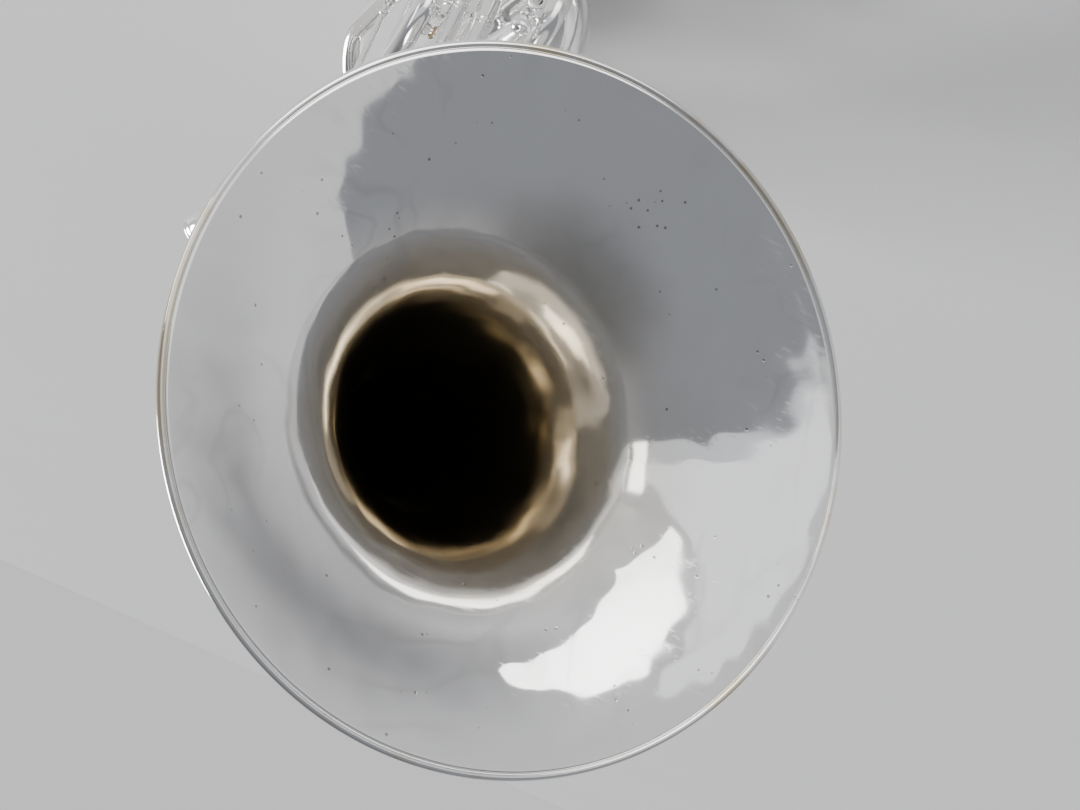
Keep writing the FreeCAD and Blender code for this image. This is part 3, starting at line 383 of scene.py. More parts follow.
def spring_steel(name):
    """Oiled steel wire."""
    surface = Surface(name, Metallic=1.0)
    mottle = surface.noise(240, 4)
    surface.bump(surface.noise(1500, 2), 0.15, 0.00003)
    colour = surface.mix(surface.remap(mottle, 0.4, 0.7, 0, 1), (0.46, 0.46, 0.48, 1), (0.30, 0.28, 0.25, 1))
    return surface.finish(Base_Color=colour, Roughness=surface.remap(mottle, 0.3, 0.7, 0.22, 0.38))


def pearl(name):
    """Pearl-like plastic, with soft swirls."""
    surface = Surface(name, Roughness=0.16, Coat_Weight=0.6, Coat_Roughness=0.05, IOR=1.5)
    swirl = surface.noise(170, 4, 0.5, stretch=(1, 1, 0.4), twist=2.2)
    colour = surface.mix(surface.remap(swirl, 0.35, 0.6, 0, 1), (0.90, 0.88, 0.84, 1), (0.74, 0.79, 0.80, 1))
    colour = surface.mix(surface.remap(swirl, 0.58, 0.72, 0, 0.7), colour, (0.88, 0.74, 0.74, 1))
    surface.bump(swirl, 0.04, 0.00005)
    return surface.finish(Base_Color=colour)


def felt(name):
    """Dense wool felt."""
    surface = Surface(name, Roughness=0.95, Sheen_Weight=0.5, Sheen_Roughness=0.5)
    fuzz = surface.noise(2600, 4, 0.7)
    surface.bump(fuzz, 0.6, 0.00015)
    pale = surface.remap(fuzz, 0.35, 0.68, 0, 1)
    colour = surface.mix(pale, (0.045, 0.045, 0.05, 1), (0.15, 0.15, 0.16, 1))
    return surface.finish(Base_Color=colour)


def cork(name):
    """Natural cork: tan cells with dark lenticels."""
    surface = Surface(name, Roughness=0.85)
    cells = surface.add("TexVoronoi", {"Vector": surface.place, "Scale": 1500})
    dark = surface.remap(surface.noise(650, 4, 0.6), 0.58, 0.66, 0, 1)
    colour = surface.mix(surface.remap(cells, 0.1, 0.7, 0, 1), (0.66, 0.46, 0.28, 1), (0.50, 0.33, 0.18, 1))
    colour = surface.mix(dark, colour, (0.22, 0.12, 0.06, 1))
    surface.bump(surface.math("SUBTRACT", cells, dark), 0.5, 0.0001)
    return surface.finish(Base_Color=colour)


MATERIALS = {
    "silver_plate": silver("silver_plate"), "bell_plate": silver("bell_plate_outside"),
    "monel": monel("monel"), "spring_steel": spring_steel("spring_steel"), "pearl": pearl("pearl"),
    "felt": felt("felt"), "cork": cork("cork"),
}
BELL_INSIDE = bell_inside("bell_plate_inside")
for label, item in frame["nodes"].items():
    slot_name = next(part["material_slot"] for part in frame["record"]["subparts"] if part["node"] == label)
    item.data.materials.clear()
    item.data.materials.append(MATERIALS[slot_name])


# ---------------------------------------- pieces
def piece(name, shell, body, slot, *replaced, sharp=38):
    """A finished piece: shell in millimetres from the rim's middle, the body it rides and its slot."""
    points, faces = shell
    mesh = bpy.data.meshes.new(name)
    mirrored = np.asarray(points) * (1, -1, 1)
    mesh.from_pydata([tuple(point) for point in (mirrored + np.array(RIM_CENTRE)) * MM], [], faces)
    work = bmesh.new()
    work.from_mesh(mesh)
    bmesh.ops.remove_doubles(work, verts=work.verts, dist=2e-6)
    bmesh.ops.dissolve_degenerate(work, edges=work.edges, dist=1e-7)
    bmesh.ops.recalc_face_normals(work, faces=work.faces)
    work.to_mesh(mesh)
    work.free()
    mesh.polygons.foreach_set("use_smooth", [True] * len(mesh.polygons))
    mesh.set_sharp_from_angle(angle=math.radians(sharp))
    mesh.materials.append(MATERIALS[slot])
    item = bpy.data.objects.new(name, mesh)
    bpy.context.scene.collection.objects.link(item)
    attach(item, body)
    if replaced:
        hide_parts(*replaced)
    return item


def horn_piece(name, shell, *replaced):
    """A finished piece of silver plate on the horn's fixed body."""
    return piece(name, shell, HORN, "silver_plate", *replaced)


# ---------------------------------------- the bell
def bell_outer(back):
    """Outer radius of the bell at a distance behind its rim."""
    return THROAT + (BELL_RADIUS - THROAT) * (1 + back / FLARE_LENGTH) ** -FLARE_POWER


WAVE = 0.10


def bell_wave(points):
    """How far the hand-worked sheet strays from true, in millimetres, at each point."""
    strays = []
    for point in points:
        slow = noise.noise(Vector(point) * 0.022 + Vector((7.3, 1.1, 4.2)))
        turn = math.atan2(point[2], point[1])
        rings = noise.noise(Vector((math.cos(turn) * 2.2, math.sin(turn) * 2.2, point[0] * 0.11)))
        small = noise.noise(Vector(point) * 0.075 + Vector((2.0, 9.0, 5.0)))
        strays.append(WAVE * (slow * 1.1 + rings * 0.45 + small * 1.3))
    return np.array(strays)


def bell(steps=320, rows=150):
    """The flare and tail in one sheet, with the slight unevenness of hand finishing.

    The rows stand closer together near the rim. The sheet runs true at the rim and at the tail's end.
    """
    angles = np.linspace(0, 2 * math.pi, steps, endpoint=False)
    round_about = np.stack([np.zeros(steps), np.cos(angles), np.sin(angles)], axis=1)
    rings_out, rings_in = [], []
    for index in range(rows + 1):
        back = TAIL * (index / rows) ** 1.5
        slope = (bell_outer(back) - bell_outer(back + 0.1)) / 0.1
        lean = math.hypot(1, slope)
        normal_x, normal_r = slope / lean, -1 / lean
        middle = np.array([-back, 0, 0]) + round_about * bell_outer(back)
        calm = min(1.0, (BELL_RADIUS - bell_outer(back)) / 6.0) * min(1.0, (TAIL - back) / 20.0)
        stray = bell_wave(middle) * calm
        shift = round_about * (normal_r * stray)[:, None]
        shift[:, 0] = normal_x * stray
        rings_out.append(middle + shift)
        thick = round_about * (normal_r * WALL)
        thick[:, 0] = normal_x * WALL
        inner = middle + shift + thick
        inner[:, 0] = np.minimum(inner[:, 0], 0.12) if index == 0 else inner[:, 0]
        rings_in.append(inner)
    return grid(rings_out + rings_in[::-1], closed=True)


sheet = piece("bell_sheet", bell(), HORN, "bell_plate", "bell_flare", "bell_tail", sharp=60)
sheet.data.materials.append(BELL_INSIDE)
for face in sheet.data.polygons:
    place = face.center / MM - RIM_CENTRE
    outwards = Vector((0, place.y, place.z)).normalized()
    facing_in = face.normal.dot(outwards) < 0
    face.material_index = 1 if facing_in else 0

WIRE = 1.6
bead = [(BELL_RADIUS + WIRE + WIRE * math.cos(turn), -0.2 + WIRE * math.sin(turn))
        for turn in np.linspace(-0.80 * math.pi, 1.10 * math.pi, 40)]
bead += [(BELL_RADIUS - 0.15, -1.25), (BELL_RADIUS + 0.2, -1.0)]
rim_bead = piece("rim_bead", lathe(bead, at(0), X, 512), HORN, "bell_plate", "bell_rim_wire", sharp=50)
rim_bead.data.materials[0] = silver("bell_plate_rim_worn", 0.44, 0.6, 1.0)


# ---------------------------------------- the bell's branch
def tapered(path, start, end):
    """A radius for each point of a path, from start to end."""
    return [start + (end - start) * index / (len(path) - 1) for index in range(len(path))]


BOTTOM, FRONT, FRONT_BEND = 236.0, 144.0, 55.0
HALF = BOTTOM / 2
BOW_END, BOTTOM_END = 11.0, 7.0
UPPER = BOTTOM - 2 * FRONT_BEND
bow_path = arc(branch(TAIL, HALF), DOWN * -HALF, X * -HALF, math.pi, 121)
bow_radii = tapered(bow_path, bell_outer(TAIL), BOW_END)
horn_piece("back_bow_tube", sweep(bow_path, bow_radii, WALL * 0.8, 96), "back_bow")
path = line(branch(TAIL, BOTTOM), branch(FRONT, BOTTOM), 12)
horn_piece("bottom_branch", sweep(path, tapered(path, BOW_END, BOTTOM_END), WALL, 72), "bottom_tube")
path = arc(branch(FRONT, BOTTOM - FRONT_BEND), DOWN * FRONT_BEND, X * FRONT_BEND, math.pi, 81)
horn_piece("front_bow_tube", sweep(path, tapered(path, BOTTOM_END, TUBE), WALL, 64), "front_bow")

VALVE_SIDE, VALVE_BACKS, ELBOW = 62.0, {1: 228.0, 2: 200.0}, 12.0
PISTON, CASING_BORE, CASING = 9.0, 9.04, 10.4
branch_end = branch(VALVE_BACKS[2] - ELBOW, UPPER)
horn_piece("upper_branch", sweep(line(branch(FRONT, UPPER), branch_end)), "upper_tube")
OUTLET_HEIGHT = branch_end.z
corner = Vector((-VALVE_BACKS[2], branch_end.y - ELBOW, OUTLET_HEIGHT))
path = [Vector((-VALVE_BACKS[2], -VALVE_SIDE + CASING + 3, OUTLET_HEIGHT))]
path += arc(corner + X * ELBOW, X * -ELBOW, Y * ELBOW, math.pi / 2, 25)
horn_piece("outlet_elbow", sweep(path), "outlet_tube")

# ---------------------------------------- loops of plain tubing
LEAD_SIDE, LEAD_DROP, SLIDE_BACK, SLIDE_BEND = 88.0, 149.0, 142.0, 38.0
SLIDE_LOW = LEAD_DROP + 2 * SLIDE_BEND
LOOP_SIDE, LOOP_UPPER, LOOP_LOWER, LOOP_BACK = 36.0, 167.0, 247.0, 118.0
FIRST_RETURN, SECOND_RETURN = 262.0, 320.0
SLEEVE_START, SLEEVE_UPPER_END, SLEEVE_LOWER_END = 161.0, 232.0, 252.0
path = half_turn(at(FIRST_RETURN, LEAD_SIDE, SLIDE_LOW), at(FIRST_RETURN, LOOP_SIDE, LOOP_UPPER), -X, 65)
horn_piece("first_return_tube", sweep(path), "first_return_bow")
horn_piece("loop_runs", joined(
    sweep(line(at(FIRST_RETURN, LOOP_SIDE, LOOP_UPPER), at(LOOP_BACK, LOOP_SIDE, LOOP_UPPER))),
    sweep(line(at(LOOP_BACK, LOOP_SIDE, LOOP_LOWER), at(SECOND_RETURN, LOOP_SIDE, LOOP_LOWER))),
    sweep(line(at(SLEEVE_LOWER_END - 8, LEAD_SIDE, SLIDE_LOW), at(FIRST_RETURN, LEAD_SIDE, SLIDE_LOW))),
), "loop_tubes")
path = half_turn(at(LOOP_BACK, LOOP_SIDE, LOOP_UPPER), at(LOOP_BACK, LOOP_SIDE, LOOP_LOWER), X, 73)
horn_piece("loop_front_bow", sweep(path), "loop_bow")
path = half_turn(at(SECOND_RETURN, LOOP_SIDE, LOOP_LOWER), at(SECOND_RETURN, VALVE_SIDE, LEAD_DROP), -X, 73)
horn_piece("second_return_tube", sweep(path), "second_return_bow")
path = line(at(SECOND_RETURN, VALVE_SIDE, LEAD_DROP), at(VALVE_BACKS[1] + CASING + 5, VALVE_SIDE, LEAD_DROP))
horn_piece("valve_inlet_run", sweep(path), "valve_inlet_tube")


def tube_ring(middle, axis, radius):
    """A thin half-round band, as brazed round a port."""
    outline = [(radius - 0.2, -1.4, 0), (radius + 0.25, -1.2, 0.2), (radius + 0.75, -0.6, 0.5),
               (radius + 0.75, 0.6, 0.5), (radius + 0.25, 1.2, 0.2), (radius - 0.2, 1.4, 0)]
    return turned(outline, middle, axis, 72)


# ---------------------------------------- valves
VALVE_TOP, VALVE_BOTTOM, PISTON_TOP, PISTON_LENGTH = 72.0, 192.0, 92.0, 72.0
HIGH, MIDDLE, SPREAD = 101.0, 125.0, 7.2


def knurl(teeth, low, high, depth=0.28):
    """A ripple that cuts upright notches all round between two heights."""
    def ripple(angles, radius, height):
        share = min(1.0, max(0.0, min(height - low, high - height) / 0.35))
        notch = np.abs(np.sin(angles * teeth / 2)) ** 0.6 - 1
        return notch * depth * share * (radius > CASING + 1.1)
    return ripple


def casing(number):
    """A valve casing with its bands, its port stubs and the beads round them."""
    back = VALVE_BACKS[number]
    base, height = at(back, VALVE_SIDE, VALVE_BOTTOM), VALVE_BOTTOM - VALVE_TOP
    outline = [(CASING_BORE, 0), (CASING, 0)]
    for low in (9.3, height - 11.7):
        outline += [(CASING, low, 0.1), (CASING + 0.75, low + 0.5, 0.3), (CASING + 0.75, low + 1.9, 0.3),
                    (CASING, low + 2.4, 0.1)]
    for low in (46.0, height - 46.0):
        outline += [(CASING, low, 0.1), (CASING + 0.35, low + 0.3, 0.2), (CASING + 0.35, low + 0.9, 0.2),
                    (CASING, low + 1.2, 0.1)]
    outline += [(CASING, height), (CASING_BORE, height)]
    shells = [turned(outline, base, Z, 96, ease=0.12)]
    ports = [(0.0, drop, -X, 5.0) for drop in (HIGH, MIDDLE, LEAD_DROP)]
    if number == 2:
        ports = [(SPREAD, LEAD_DROP, X, 5.0), (-SPREAD, LEAD_DROP, X, 5.0), (0.0, -OUTLET_HEIGHT, Y, 3.0)]
    for shift, drop, direction, reach in ports:
        middle = at(back, VALVE_SIDE + shift, drop)
        start = math.sqrt(CASING ** 2 - shift ** 2) - 1.0
        shells.append(sweep(line(middle + direction * start, middle + direction * (CASING + reach)),
                            PORT, 0.95, 64))
        shells.append(tube_ring(middle + direction * (CASING + reach - 1.2), direction, PORT))
    return joined(*shells)


def piston(number):
    """A plain cylinder with a rim at its top; its passages are left out, as the casing hides them."""
    base = at(VALVE_BACKS[number], VALVE_SIDE, PISTON_TOP + PISTON_LENGTH)
    outline = [(0, 0), (PISTON, 0, 0.3), (PISTON, PISTON_LENGTH, 0.4), (6.5, PISTON_LENGTH, 0.3),
               (6.2, PISTON_LENGTH - 0.8, 0.2), (0, PISTON_LENGTH - 0.8)]
    return turned(outline, base, Z, 96)


def coil(middle, axis, radius, wire, height, turns, steps=26, flat_turns=1.0):
    """A coil spring along an axis, with its end turns closed up."""
    first, second = side_axes(axis)
    axis = Vector(axis).normalized()
    path = []
    count = int(turns * steps)
    for index in range(count + 1):
        turn = index / steps
        open_share = max(0.0, min(turn, turns - flat_turns) - flat_turns) / (turns - 2 * flat_turns)
        rise = wire * 2.02 * min(turn, flat_turns) + wire * 2.02 * max(0.0, turn - (turns - flat_turns))
        rise += open_share * (height - 2 * wire - 4.04 * wire * flat_turns)
        angle = 2 * math.pi * turn
        path.append(Vector(middle) + axis * (wire + rise)
                    + (first * math.cos(angle) + second * math.sin(angle)) * radius)
    return sweep(path, wire, 0, 12)


def ragged(number):
    """A ripple for the felt's edge, a little different on each valve."""
    def ripple(angles, radius, height):
        return 0.09 * np.sin(angles * 7 + number) + 0.06 * np.sin(angles * 19 + height * 3)
    return ripple


CAP, STEM_LENGTH = 7.5, 44
for number, back in VALVE_BACKS.items():
    name, moving = "valve_%d_" % number, "valve_%d_moving" % number
    top, bottom = at(back, VALVE_SIDE, VALVE_TOP), at(back, VALVE_SIDE, VALVE_BOTTOM)
    horn_piece(name + "casing_body", casing(number), name + "casing")
    piece(name + "piston_body", piston(number), moving, "monel", name + "piston")
    skin, rim = CASING + 0.05, CASING + 1.4
    skirt_knurl = knurl(48, 1.5, 6.3)
    outline = [(skin, 0), (rim - 0.5, 0, 0.3), (rim - 0.5, 1.2, 0.15), (rim, 1.6, 0.2)]
    outline += [(rim, 1.6 + 0.4 * index, 0) for index in range(1, 11)]
    outline += [(rim, 6.2, 0.2), (rim - 0.5, 6.6, 0.15), (rim - 0.5, 7.6, 0.4), (rim - 2.4, 9.7, 0.9),
                (5.2, 10.0, 0.6), (4.7, 11.6, 0.4), (2.26, 11.6, 0.2), (2.26, 7.6, 0), (skin, 7.6, 0)]
    shell = turned(outline, top - Z * CAP, Z, 288, skirt_knurl)
    horn_piece(name + "top_cap_body", shell, name + "top_cap")
    outline = outline[:-6] + [(rim - 0.5, 7.6, 0.4), (rim - 2.2, 9.6, 0.9), (4.0, 10.0, 0.5),
                              (3.2, 11.0, 0.4), (1.6, 11.0, 0.2), (1.6, 10.2, 0.1), (0, 10.2), (0, 7.6),
                              (skin, 7.6, 0)]
    shell = turned(outline, bottom + Z * CAP, -Z, 288, skirt_knurl)
    horn_piece(name + "bottom_cap_body", shell, name + "bottom_cap")
    stem_base = at(back, VALVE_SIDE, PISTON_TOP)
    outline = [(0, 0), (5.4, 0, 0.3), (5.4, 1.4, 0.3), (2.2, 2.6, 0.8), (2.2, 41.2, 0.1), (1.8, 41.6, 0.1),
               (1.8, STEM_LENGTH, 0.2), (0, STEM_LENGTH)]
    piece(name + "stem_rod", turned(outline, stem_base, Z, 48), moving, "monel", name + "stem")
    button = stem_base + Z * STEM_LENGTH
    outline = [(0, 0), (3.4, 0, 0.3), (3.6, 0.8, 0.4), (4.6, 1.7, 0.8), (7.4, 2.7, 0.9), (8.5, 3.5, 0.5),
               (8.5, 4.4, 0.5), (7.9, 5, 0.4), (6.8, 5, 0.15), (6.8, 4, 0), (0, 4)]
    piece(name + "button_cup", turned(outline, button, Z, 96), moving, "silver_plate", name + "button")
    outline = [(0, 4.0), (6.75, 4.0, 0), (6.75, 5.05, 0.3), (5.9, 5.35, 0.5), (4.2, 5.15, 1.2),
               (2.0, 4.92, 0.8), (0, 4.88)]
    piece(name + "pearl_inlay", turned(outline, button, Z, 96), moving, "pearl", name + "pearl")
    outline = [(2.25, -2.4, 0.1), (6.05, -2.4, 0.5), (6.2, -1.2, 0.5), (6.05, -0.05, 0.5), (2.25, -0.05, 0.1)]
    piece(name + "felt_washer", turned(outline, button, Z, 96, ragged(number)), moving, "felt", name + "felt")
    piece(name + "spring_coil", coil(bottom + Z * 0.3, Z, 5.5, 0.45, 27.4, 9), HORN, "spring_steel",
          name + "spring")

link = sweep(line(at(VALVE_BACKS[1] - CASING + 1, VALVE_SIDE, LEAD_DROP),
                  at(VALVE_BACKS[2] + CASING - 1, VALVE_SIDE, LEAD_DROP), 9),
             [TUBE + swell for swell in (0.5, 0.1, -0.1, -0.15, -0.15, -0.15, -0.1, 0.1, 0.5)], 0.9, 64)
horn_piece("valve_bridge", link, "valve_link")


# ---------------------------------------- slides
def sleeve(start, end):
    """The outer tube of a slide, with a turned bead round its open end."""
    axis, outer = end - start, SLEEVE_OUTER
    outline = [(SLEEVE_BORE, 0, 0.15), (outer + 0.45, 0, 0.3), (outer + 0.75, 0.5, 0.4),
               (outer + 0.75, 1.7, 0.4), (outer + 0.15, 2.4, 0.2), (outer + 0.15, 3.2, 0.1),
               (outer + 0.45, 3.5, 0.2),
               (outer + 0.45, 4.1, 0.2), (outer, 4.5, 0.2), (outer, axis.length, 0.2),
               (SLEEVE_BORE, axis.length, 0)]
    return turned(outline, start, axis, 96)


horn_piece("tuning_sleeve_pair", joined(
    sleeve(at(SLEEVE_START, LEAD_SIDE, LEAD_DROP), at(SLEEVE_UPPER_END, LEAD_SIDE, LEAD_DROP)),
    sleeve(at(SLEEVE_START, LEAD_SIDE, SLIDE_LOW), at(SLEEVE_LOWER_END, LEAD_SIDE, SLIDE_LOW)),
), "tuning_sleeves")
piece("tuning_leg_pair", joined(*[
    sweep(line(at(SLIDE_BACK, LEAD_SIDE, drop), at(SLIDE_BACK + 72, LEAD_SIDE, drop)))
    for drop in (LEAD_DROP, SLIDE_LOW)]), "tuning_slide", "silver_plate", "tuning_legs")
path = half_turn(at(SLIDE_BACK, LEAD_SIDE, LEAD_DROP), at(SLIDE_BACK, LEAD_SIDE, SLIDE_LOW), X, 81)
piece("tuning_crook_tube", sweep(path), "tuning_slide", "silver_plate", "tuning_crook")
AROUND = (X, TUBE)
piece("tuning_brace", brace(at(SLIDE_BACK + 4.5, LEAD_SIDE, LEAD_DROP),
                            at(SLIDE_BACK + 4.5, LEAD_SIDE, SLIDE_LOW), AROUND, AROUND),
      "tuning_slide", "silver_plate", "tuning_slide_brace")
piece("tuning_ferrules", joined(*[ferrule(at(SLIDE_BACK + 13.6, LEAD_SIDE, drop), X)
                                  for drop in (LEAD_DROP, SLIDE_LOW)]),
      "tuning_slide", "silver_plate", "slide_ferrules")

SLIDE_1_END, SLIDE_1_BACK, SLIDE_1_LEG = 294.0, 300.0, 48.0
horn_piece("slide_1_sleeve_pair", joined(*[
    sleeve(at(SLIDE_1_END, VALVE_SIDE, drop), at(VALVE_BACKS[1] + CASING + 5, VALVE_SIDE, drop))
    for drop in (HIGH, MIDDLE)]), "slide_1_sleeves")
piece("slide_1_leg_pair", joined(*[
    sweep(line(at(SLIDE_1_BACK, VALVE_SIDE, drop), at(SLIDE_1_BACK - SLIDE_1_LEG, VALVE_SIDE, drop)))
    for drop in (HIGH, MIDDLE)]), "slide_1", "silver_plate", "slide_1_legs")
path = half_turn(at(SLIDE_1_BACK, VALVE_SIDE, HIGH), at(SLIDE_1_BACK, VALVE_SIDE, MIDDLE), -X, 49)
piece("slide_1_bow_tube", sweep(path), "slide_1", "silver_plate", "slide_1_crook")
SLIDE_1_BOW = SLIDE_1_BACK + 12 + TUBE
ring_middle = at(SLIDE_1_BOW + 9.5, VALVE_SIDE, (HIGH + MIDDLE) / 2)
ring_path = arc(ring_middle, X * 10, Z * 10, 2 * math.pi, 73)
ring_arc = [point for point in ring_path if point.x < -(SLIDE_1_BOW - 0.6)]


def turn_on_ring(point):
    """How far round the finger ring a point lies, from its front."""
    return math.atan2(point.z - ring_middle.z, point.x - ring_middle.x) % (2 * math.pi)


ring_foot = turned([(0, -1.0), (3.4, -1.0, 0.4), (3.2, 0.6, 0.6), (1.9, 1.5, 0.6), (0, 1.6)],
                   at(SLIDE_1_BOW - 0.4, VALVE_SIDE, (HIGH + MIDDLE) / 2), -X, 40)
piece("slide_1_finger_ring", joined(sweep(sorted(ring_arc, key=turn_on_ring), 1.5, 0, 28, side=Y), ring_foot),
      "slide_1", "silver_plate", "slide_1_ring")

SLIDE_2_FRONT, SLIDE_2_BEND, SLIDE_2_TOP, SLIDE_2_END, SLIDE_2_BOW, SLIDE_2_LEG = (
    131.0, 14.0, 166.0, 201.0, 212.0, 36.0)
sides = (VALVE_SIDE + SPREAD, VALVE_SIDE - SPREAD)
ports = []
for side in sides:
    path = [at(VALVE_BACKS[2] - CASING - 5, side, LEAD_DROP)]
    bend_middle = at(SLIDE_2_FRONT + SLIDE_2_BEND, side, LEAD_DROP + SLIDE_2_BEND)
    path += arc(bend_middle, Z * SLIDE_2_BEND, X * SLIDE_2_BEND, math.pi / 2, 25)
    path.append(at(SLIDE_2_FRONT, side, SLIDE_2_TOP))
    ports.append(sweep(path))
horn_piece("slide_2_port_tubes", joined(*ports), "slide_2_ports")
horn_piece("slide_2_sleeve_pair", joined(*[
    sleeve(at(SLIDE_2_FRONT, side, SLIDE_2_END), at(SLIDE_2_FRONT, side, SLIDE_2_TOP))
    for side in sides]), "slide_2_sleeves")
piece("slide_2_leg_pair", joined(*[
    sweep(line(at(SLIDE_2_FRONT, side, SLIDE_2_BOW), at(SLIDE_2_FRONT, side, SLIDE_2_BOW - SLIDE_2_LEG)))
    for side in sides]), "slide_2", "silver_plate", "slide_2_legs")
path = half_turn(at(SLIDE_2_FRONT, sides[0], SLIDE_2_BOW), at(SLIDE_2_FRONT, sides[1], SLIDE_2_BOW), -Z, 49)
outline = [(0, 0), (2.6, 0, 0.3), (1.7, 0.9, 0.4), (1.9, 1.4, 0.3), (2.6, 2.2, 0.6), (2.2, 3.2, 0.6),
           (0, 3.3)]
knob = turned(outline, at(SLIDE_2_FRONT, VALVE_SIDE, SLIDE_2_BOW + SPREAD + TUBE - 3.6), -Z, 40)
piece("slide_2_bow_tube", joined(sweep(path), knob), "slide_2", "silver_plate", "slide_2_crook")

# ---------------------------------------- leadpipe and mouthpiece
LEAD_BACK, LEAD_START = 440.0, 5.2
path = line(at(SLEEVE_UPPER_END - 8, LEAD_SIDE, LEAD_DROP), at(LEAD_BACK, LEAD_SIDE, LEAD_DROP), 12)
outline = [(TUBE - 0.2, -2.2, 0), (TUBE + 0.1, -2.2, 0.1), (TUBE + 0.8, -1.6, 0.5),
           (TUBE + 0.8, 0.4, 0.5), (TUBE + 0.2, 1.4, 0.3), (TUBE - 0.3, 2.2, 0)]
lead_collar = turned(outline, at(SLEEVE_UPPER_END + 2.4, LEAD_SIDE, LEAD_DROP), -X, 96)
lead_run = sweep(path, tapered(path, TUBE, LEAD_START), WALL, 56)
horn_piece("lead_pipe", joined(lead_run, lead_collar), "leadpipe")
RECEIVER = at(LEAD_BACK - 12, LEAD_SIDE, LEAD_DROP)
outline = [(5.25, 0, 0), (5.6, 0, 0.2), (6.1, 1.2, 0.3), (6.9, 1.8, 0.4), (6.9, 3.2, 0.4), (6.3, 4.2, 0.3),
           (6.35, 12, 0.3), (6.9, 12.6, 0.3), (6.9, 13.8, 0.3), (6.4, 14.4, 0.3), (6.5, 31, 0.3),
           (7.3, 32, 0.5), (7.6, 33.2, 0.5), (7.6, 36.4, 0.6), (7.1, 38, 0.6), (5.6, 38, 0.4), (5.55, 36, 0),
           (5.55, 12, 0), (5.25, 12, 0)]
horn_piece("receiver", turned(outline, RECEIVER, -X, 96), "mouthpiece_receiver")
outline = [(3.9, 0, 0.3), (5.45, 0, 0.4), (5.5, 26, 0.2), (5.5, 30, 0.6), (6.1, 31, 0.5), (6.1, 32.2, 0.5),
           (5.2, 33.4, 0.8), (4.9, 36, 2.0), (5.2, 44, 3.0), (6.3, 48.5, 3.0), (8.9, 53.5, 4.0),
           (10.9, 59, 4.0), (11.5, 64.5, 1.6), (12.2, 66.5, 1.0), (13.2, 68.2, 0.9), (13.2, 70.2, 1.2),
           (12.3, 71.7, 1.2), (10.6, 72, 1.2), (9.2, 71.3, 1.0), (8.6, 69.4, 1.4), (8.2, 64, 2.5),
           (6.9, 60, 2.5), (4.4, 57.5, 2.0), (2.2, 56.2, 0.8), (1.9, 54.5, 0.6), (1.9, 50, 0.6)]
piece("mouthpiece_body", turned(outline, RECEIVER - X * 13.0, -X, 128, ease=0.4, ease_steps=6),
      "mouthpiece_part", "silver_plate", "mouthpiece")

# ---------------------------------------- ferrules and braces
tail_ferrules = [ferrule(at(back), X, bell_outer(back - 4.5) + 0.05, 9, 1.0) for back in (180, TAIL)]
horn_piece("large_ferrule_set", joined(
    *tail_ferrules, ferrule(branch(TAIL - 5, BOTTOM), X, BOW_END + 0.02),
    ferrule(branch(FRONT + 5, BOTTOM), X, 7.4)), "large_ferrules")
horn_piece("small_ferrule_set", joined(*[ferrule(middle, X) for middle in (
    branch(FRONT + 5, UPPER), branch(VALVE_BACKS[2] - ELBOW - 5, UPPER),
    at(LOOP_BACK + 5, LOOP_SIDE, LOOP_UPPER), at(LOOP_BACK + 5, LOOP_SIDE, LOOP_LOWER),
    at(FIRST_RETURN - 5, LOOP_SIDE, LOOP_UPPER), at(SECOND_RETURN - 5, LOOP_SIDE, LOOP_LOWER),
    at(SECOND_RETURN - 5, VALVE_SIDE, LEAD_DROP))]), "small_ferrules")
FRONT_BRACE, REAR_BRACE, MID_BRACE = 166.0, 256.0, 206.0
horn_piece("bell_brace_pair", joined(
    brace(at(FRONT_BRACE), branch(FRONT_BRACE, UPPER), (X, bell_outer(FRONT_BRACE) + 0.3), AROUND),
    brace(at(REAR_BRACE), at(REAR_BRACE, VALVE_SIDE, LEAD_DROP), (X, bell_outer(REAR_BRACE) + 0.12), AROUND)),
           "bell_braces")
AROUND_SLEEVE = (X, SLEEVE_OUTER)
bow_middle = branch(TAIL + HALF, HALF)
post_start, post_end = branch(200, BOTTOM), at(200, LOOP_SIDE, LOOP_LOWER)
post_axis = (post_end - post_start).normalized()
outline = [(0, 7.5), (3.4, 7.5, 0), (2.8, 10.2, 0.8), (2.5, 11.5, 1.0), (3.4, 14.2, 0), (0, 14.2)]
post = joined(turned(outline, post_start, post_axis, 40), foot(post_start, post_axis, X, 8.9, 4.4),
              foot(post_end, -post_axis, X, TUBE, 4.2))
horn_piece("body_brace_set", joined(
    brace(at(REAR_BRACE, LEAD_SIDE, LEAD_DROP), at(REAR_BRACE, VALVE_SIDE, LEAD_DROP), AROUND, AROUND),
    brace(at(TAIL + HALF, LEAD_SIDE, LEAD_DROP), bow_middle, (X, 5.34),
          (DOWN, (bell_outer(TAIL) + BOW_END) / 2)),
    brace(at(MID_BRACE, LEAD_SIDE, LEAD_DROP), at(MID_BRACE, LEAD_SIDE, SLIDE_LOW),
          AROUND_SLEEVE, AROUND_SLEEVE),
    post), "body_braces")

# ---------------------------------------- water key
lean = math.asin((SLIDE_LOW - SLIDE_BEND - 170.0) / SLIDE_BEND)
SPOKE = Vector((math.cos(lean), 0, math.sin(lean)))
ALONG = Vector((math.sin(lean), 0, -math.cos(lean)))
key_seat = at(SLIDE_BACK, LEAD_SIDE, LEAD_DROP + SLIDE_BEND) + SPOKE * SLIDE_BEND + Y * (TUBE + 3.2)
HINGE, LUG_GAP, LUG_WALL, THUMB = 9.0, 3.5, 1.2, 24.0


def key_point(along, spoke=0.0, lift=0.0):
    """A place by the nipple's mouth: along the lever, across it, and out from the tube."""
    return key_seat + ALONG * along + SPOKE * spoke + Y * lift


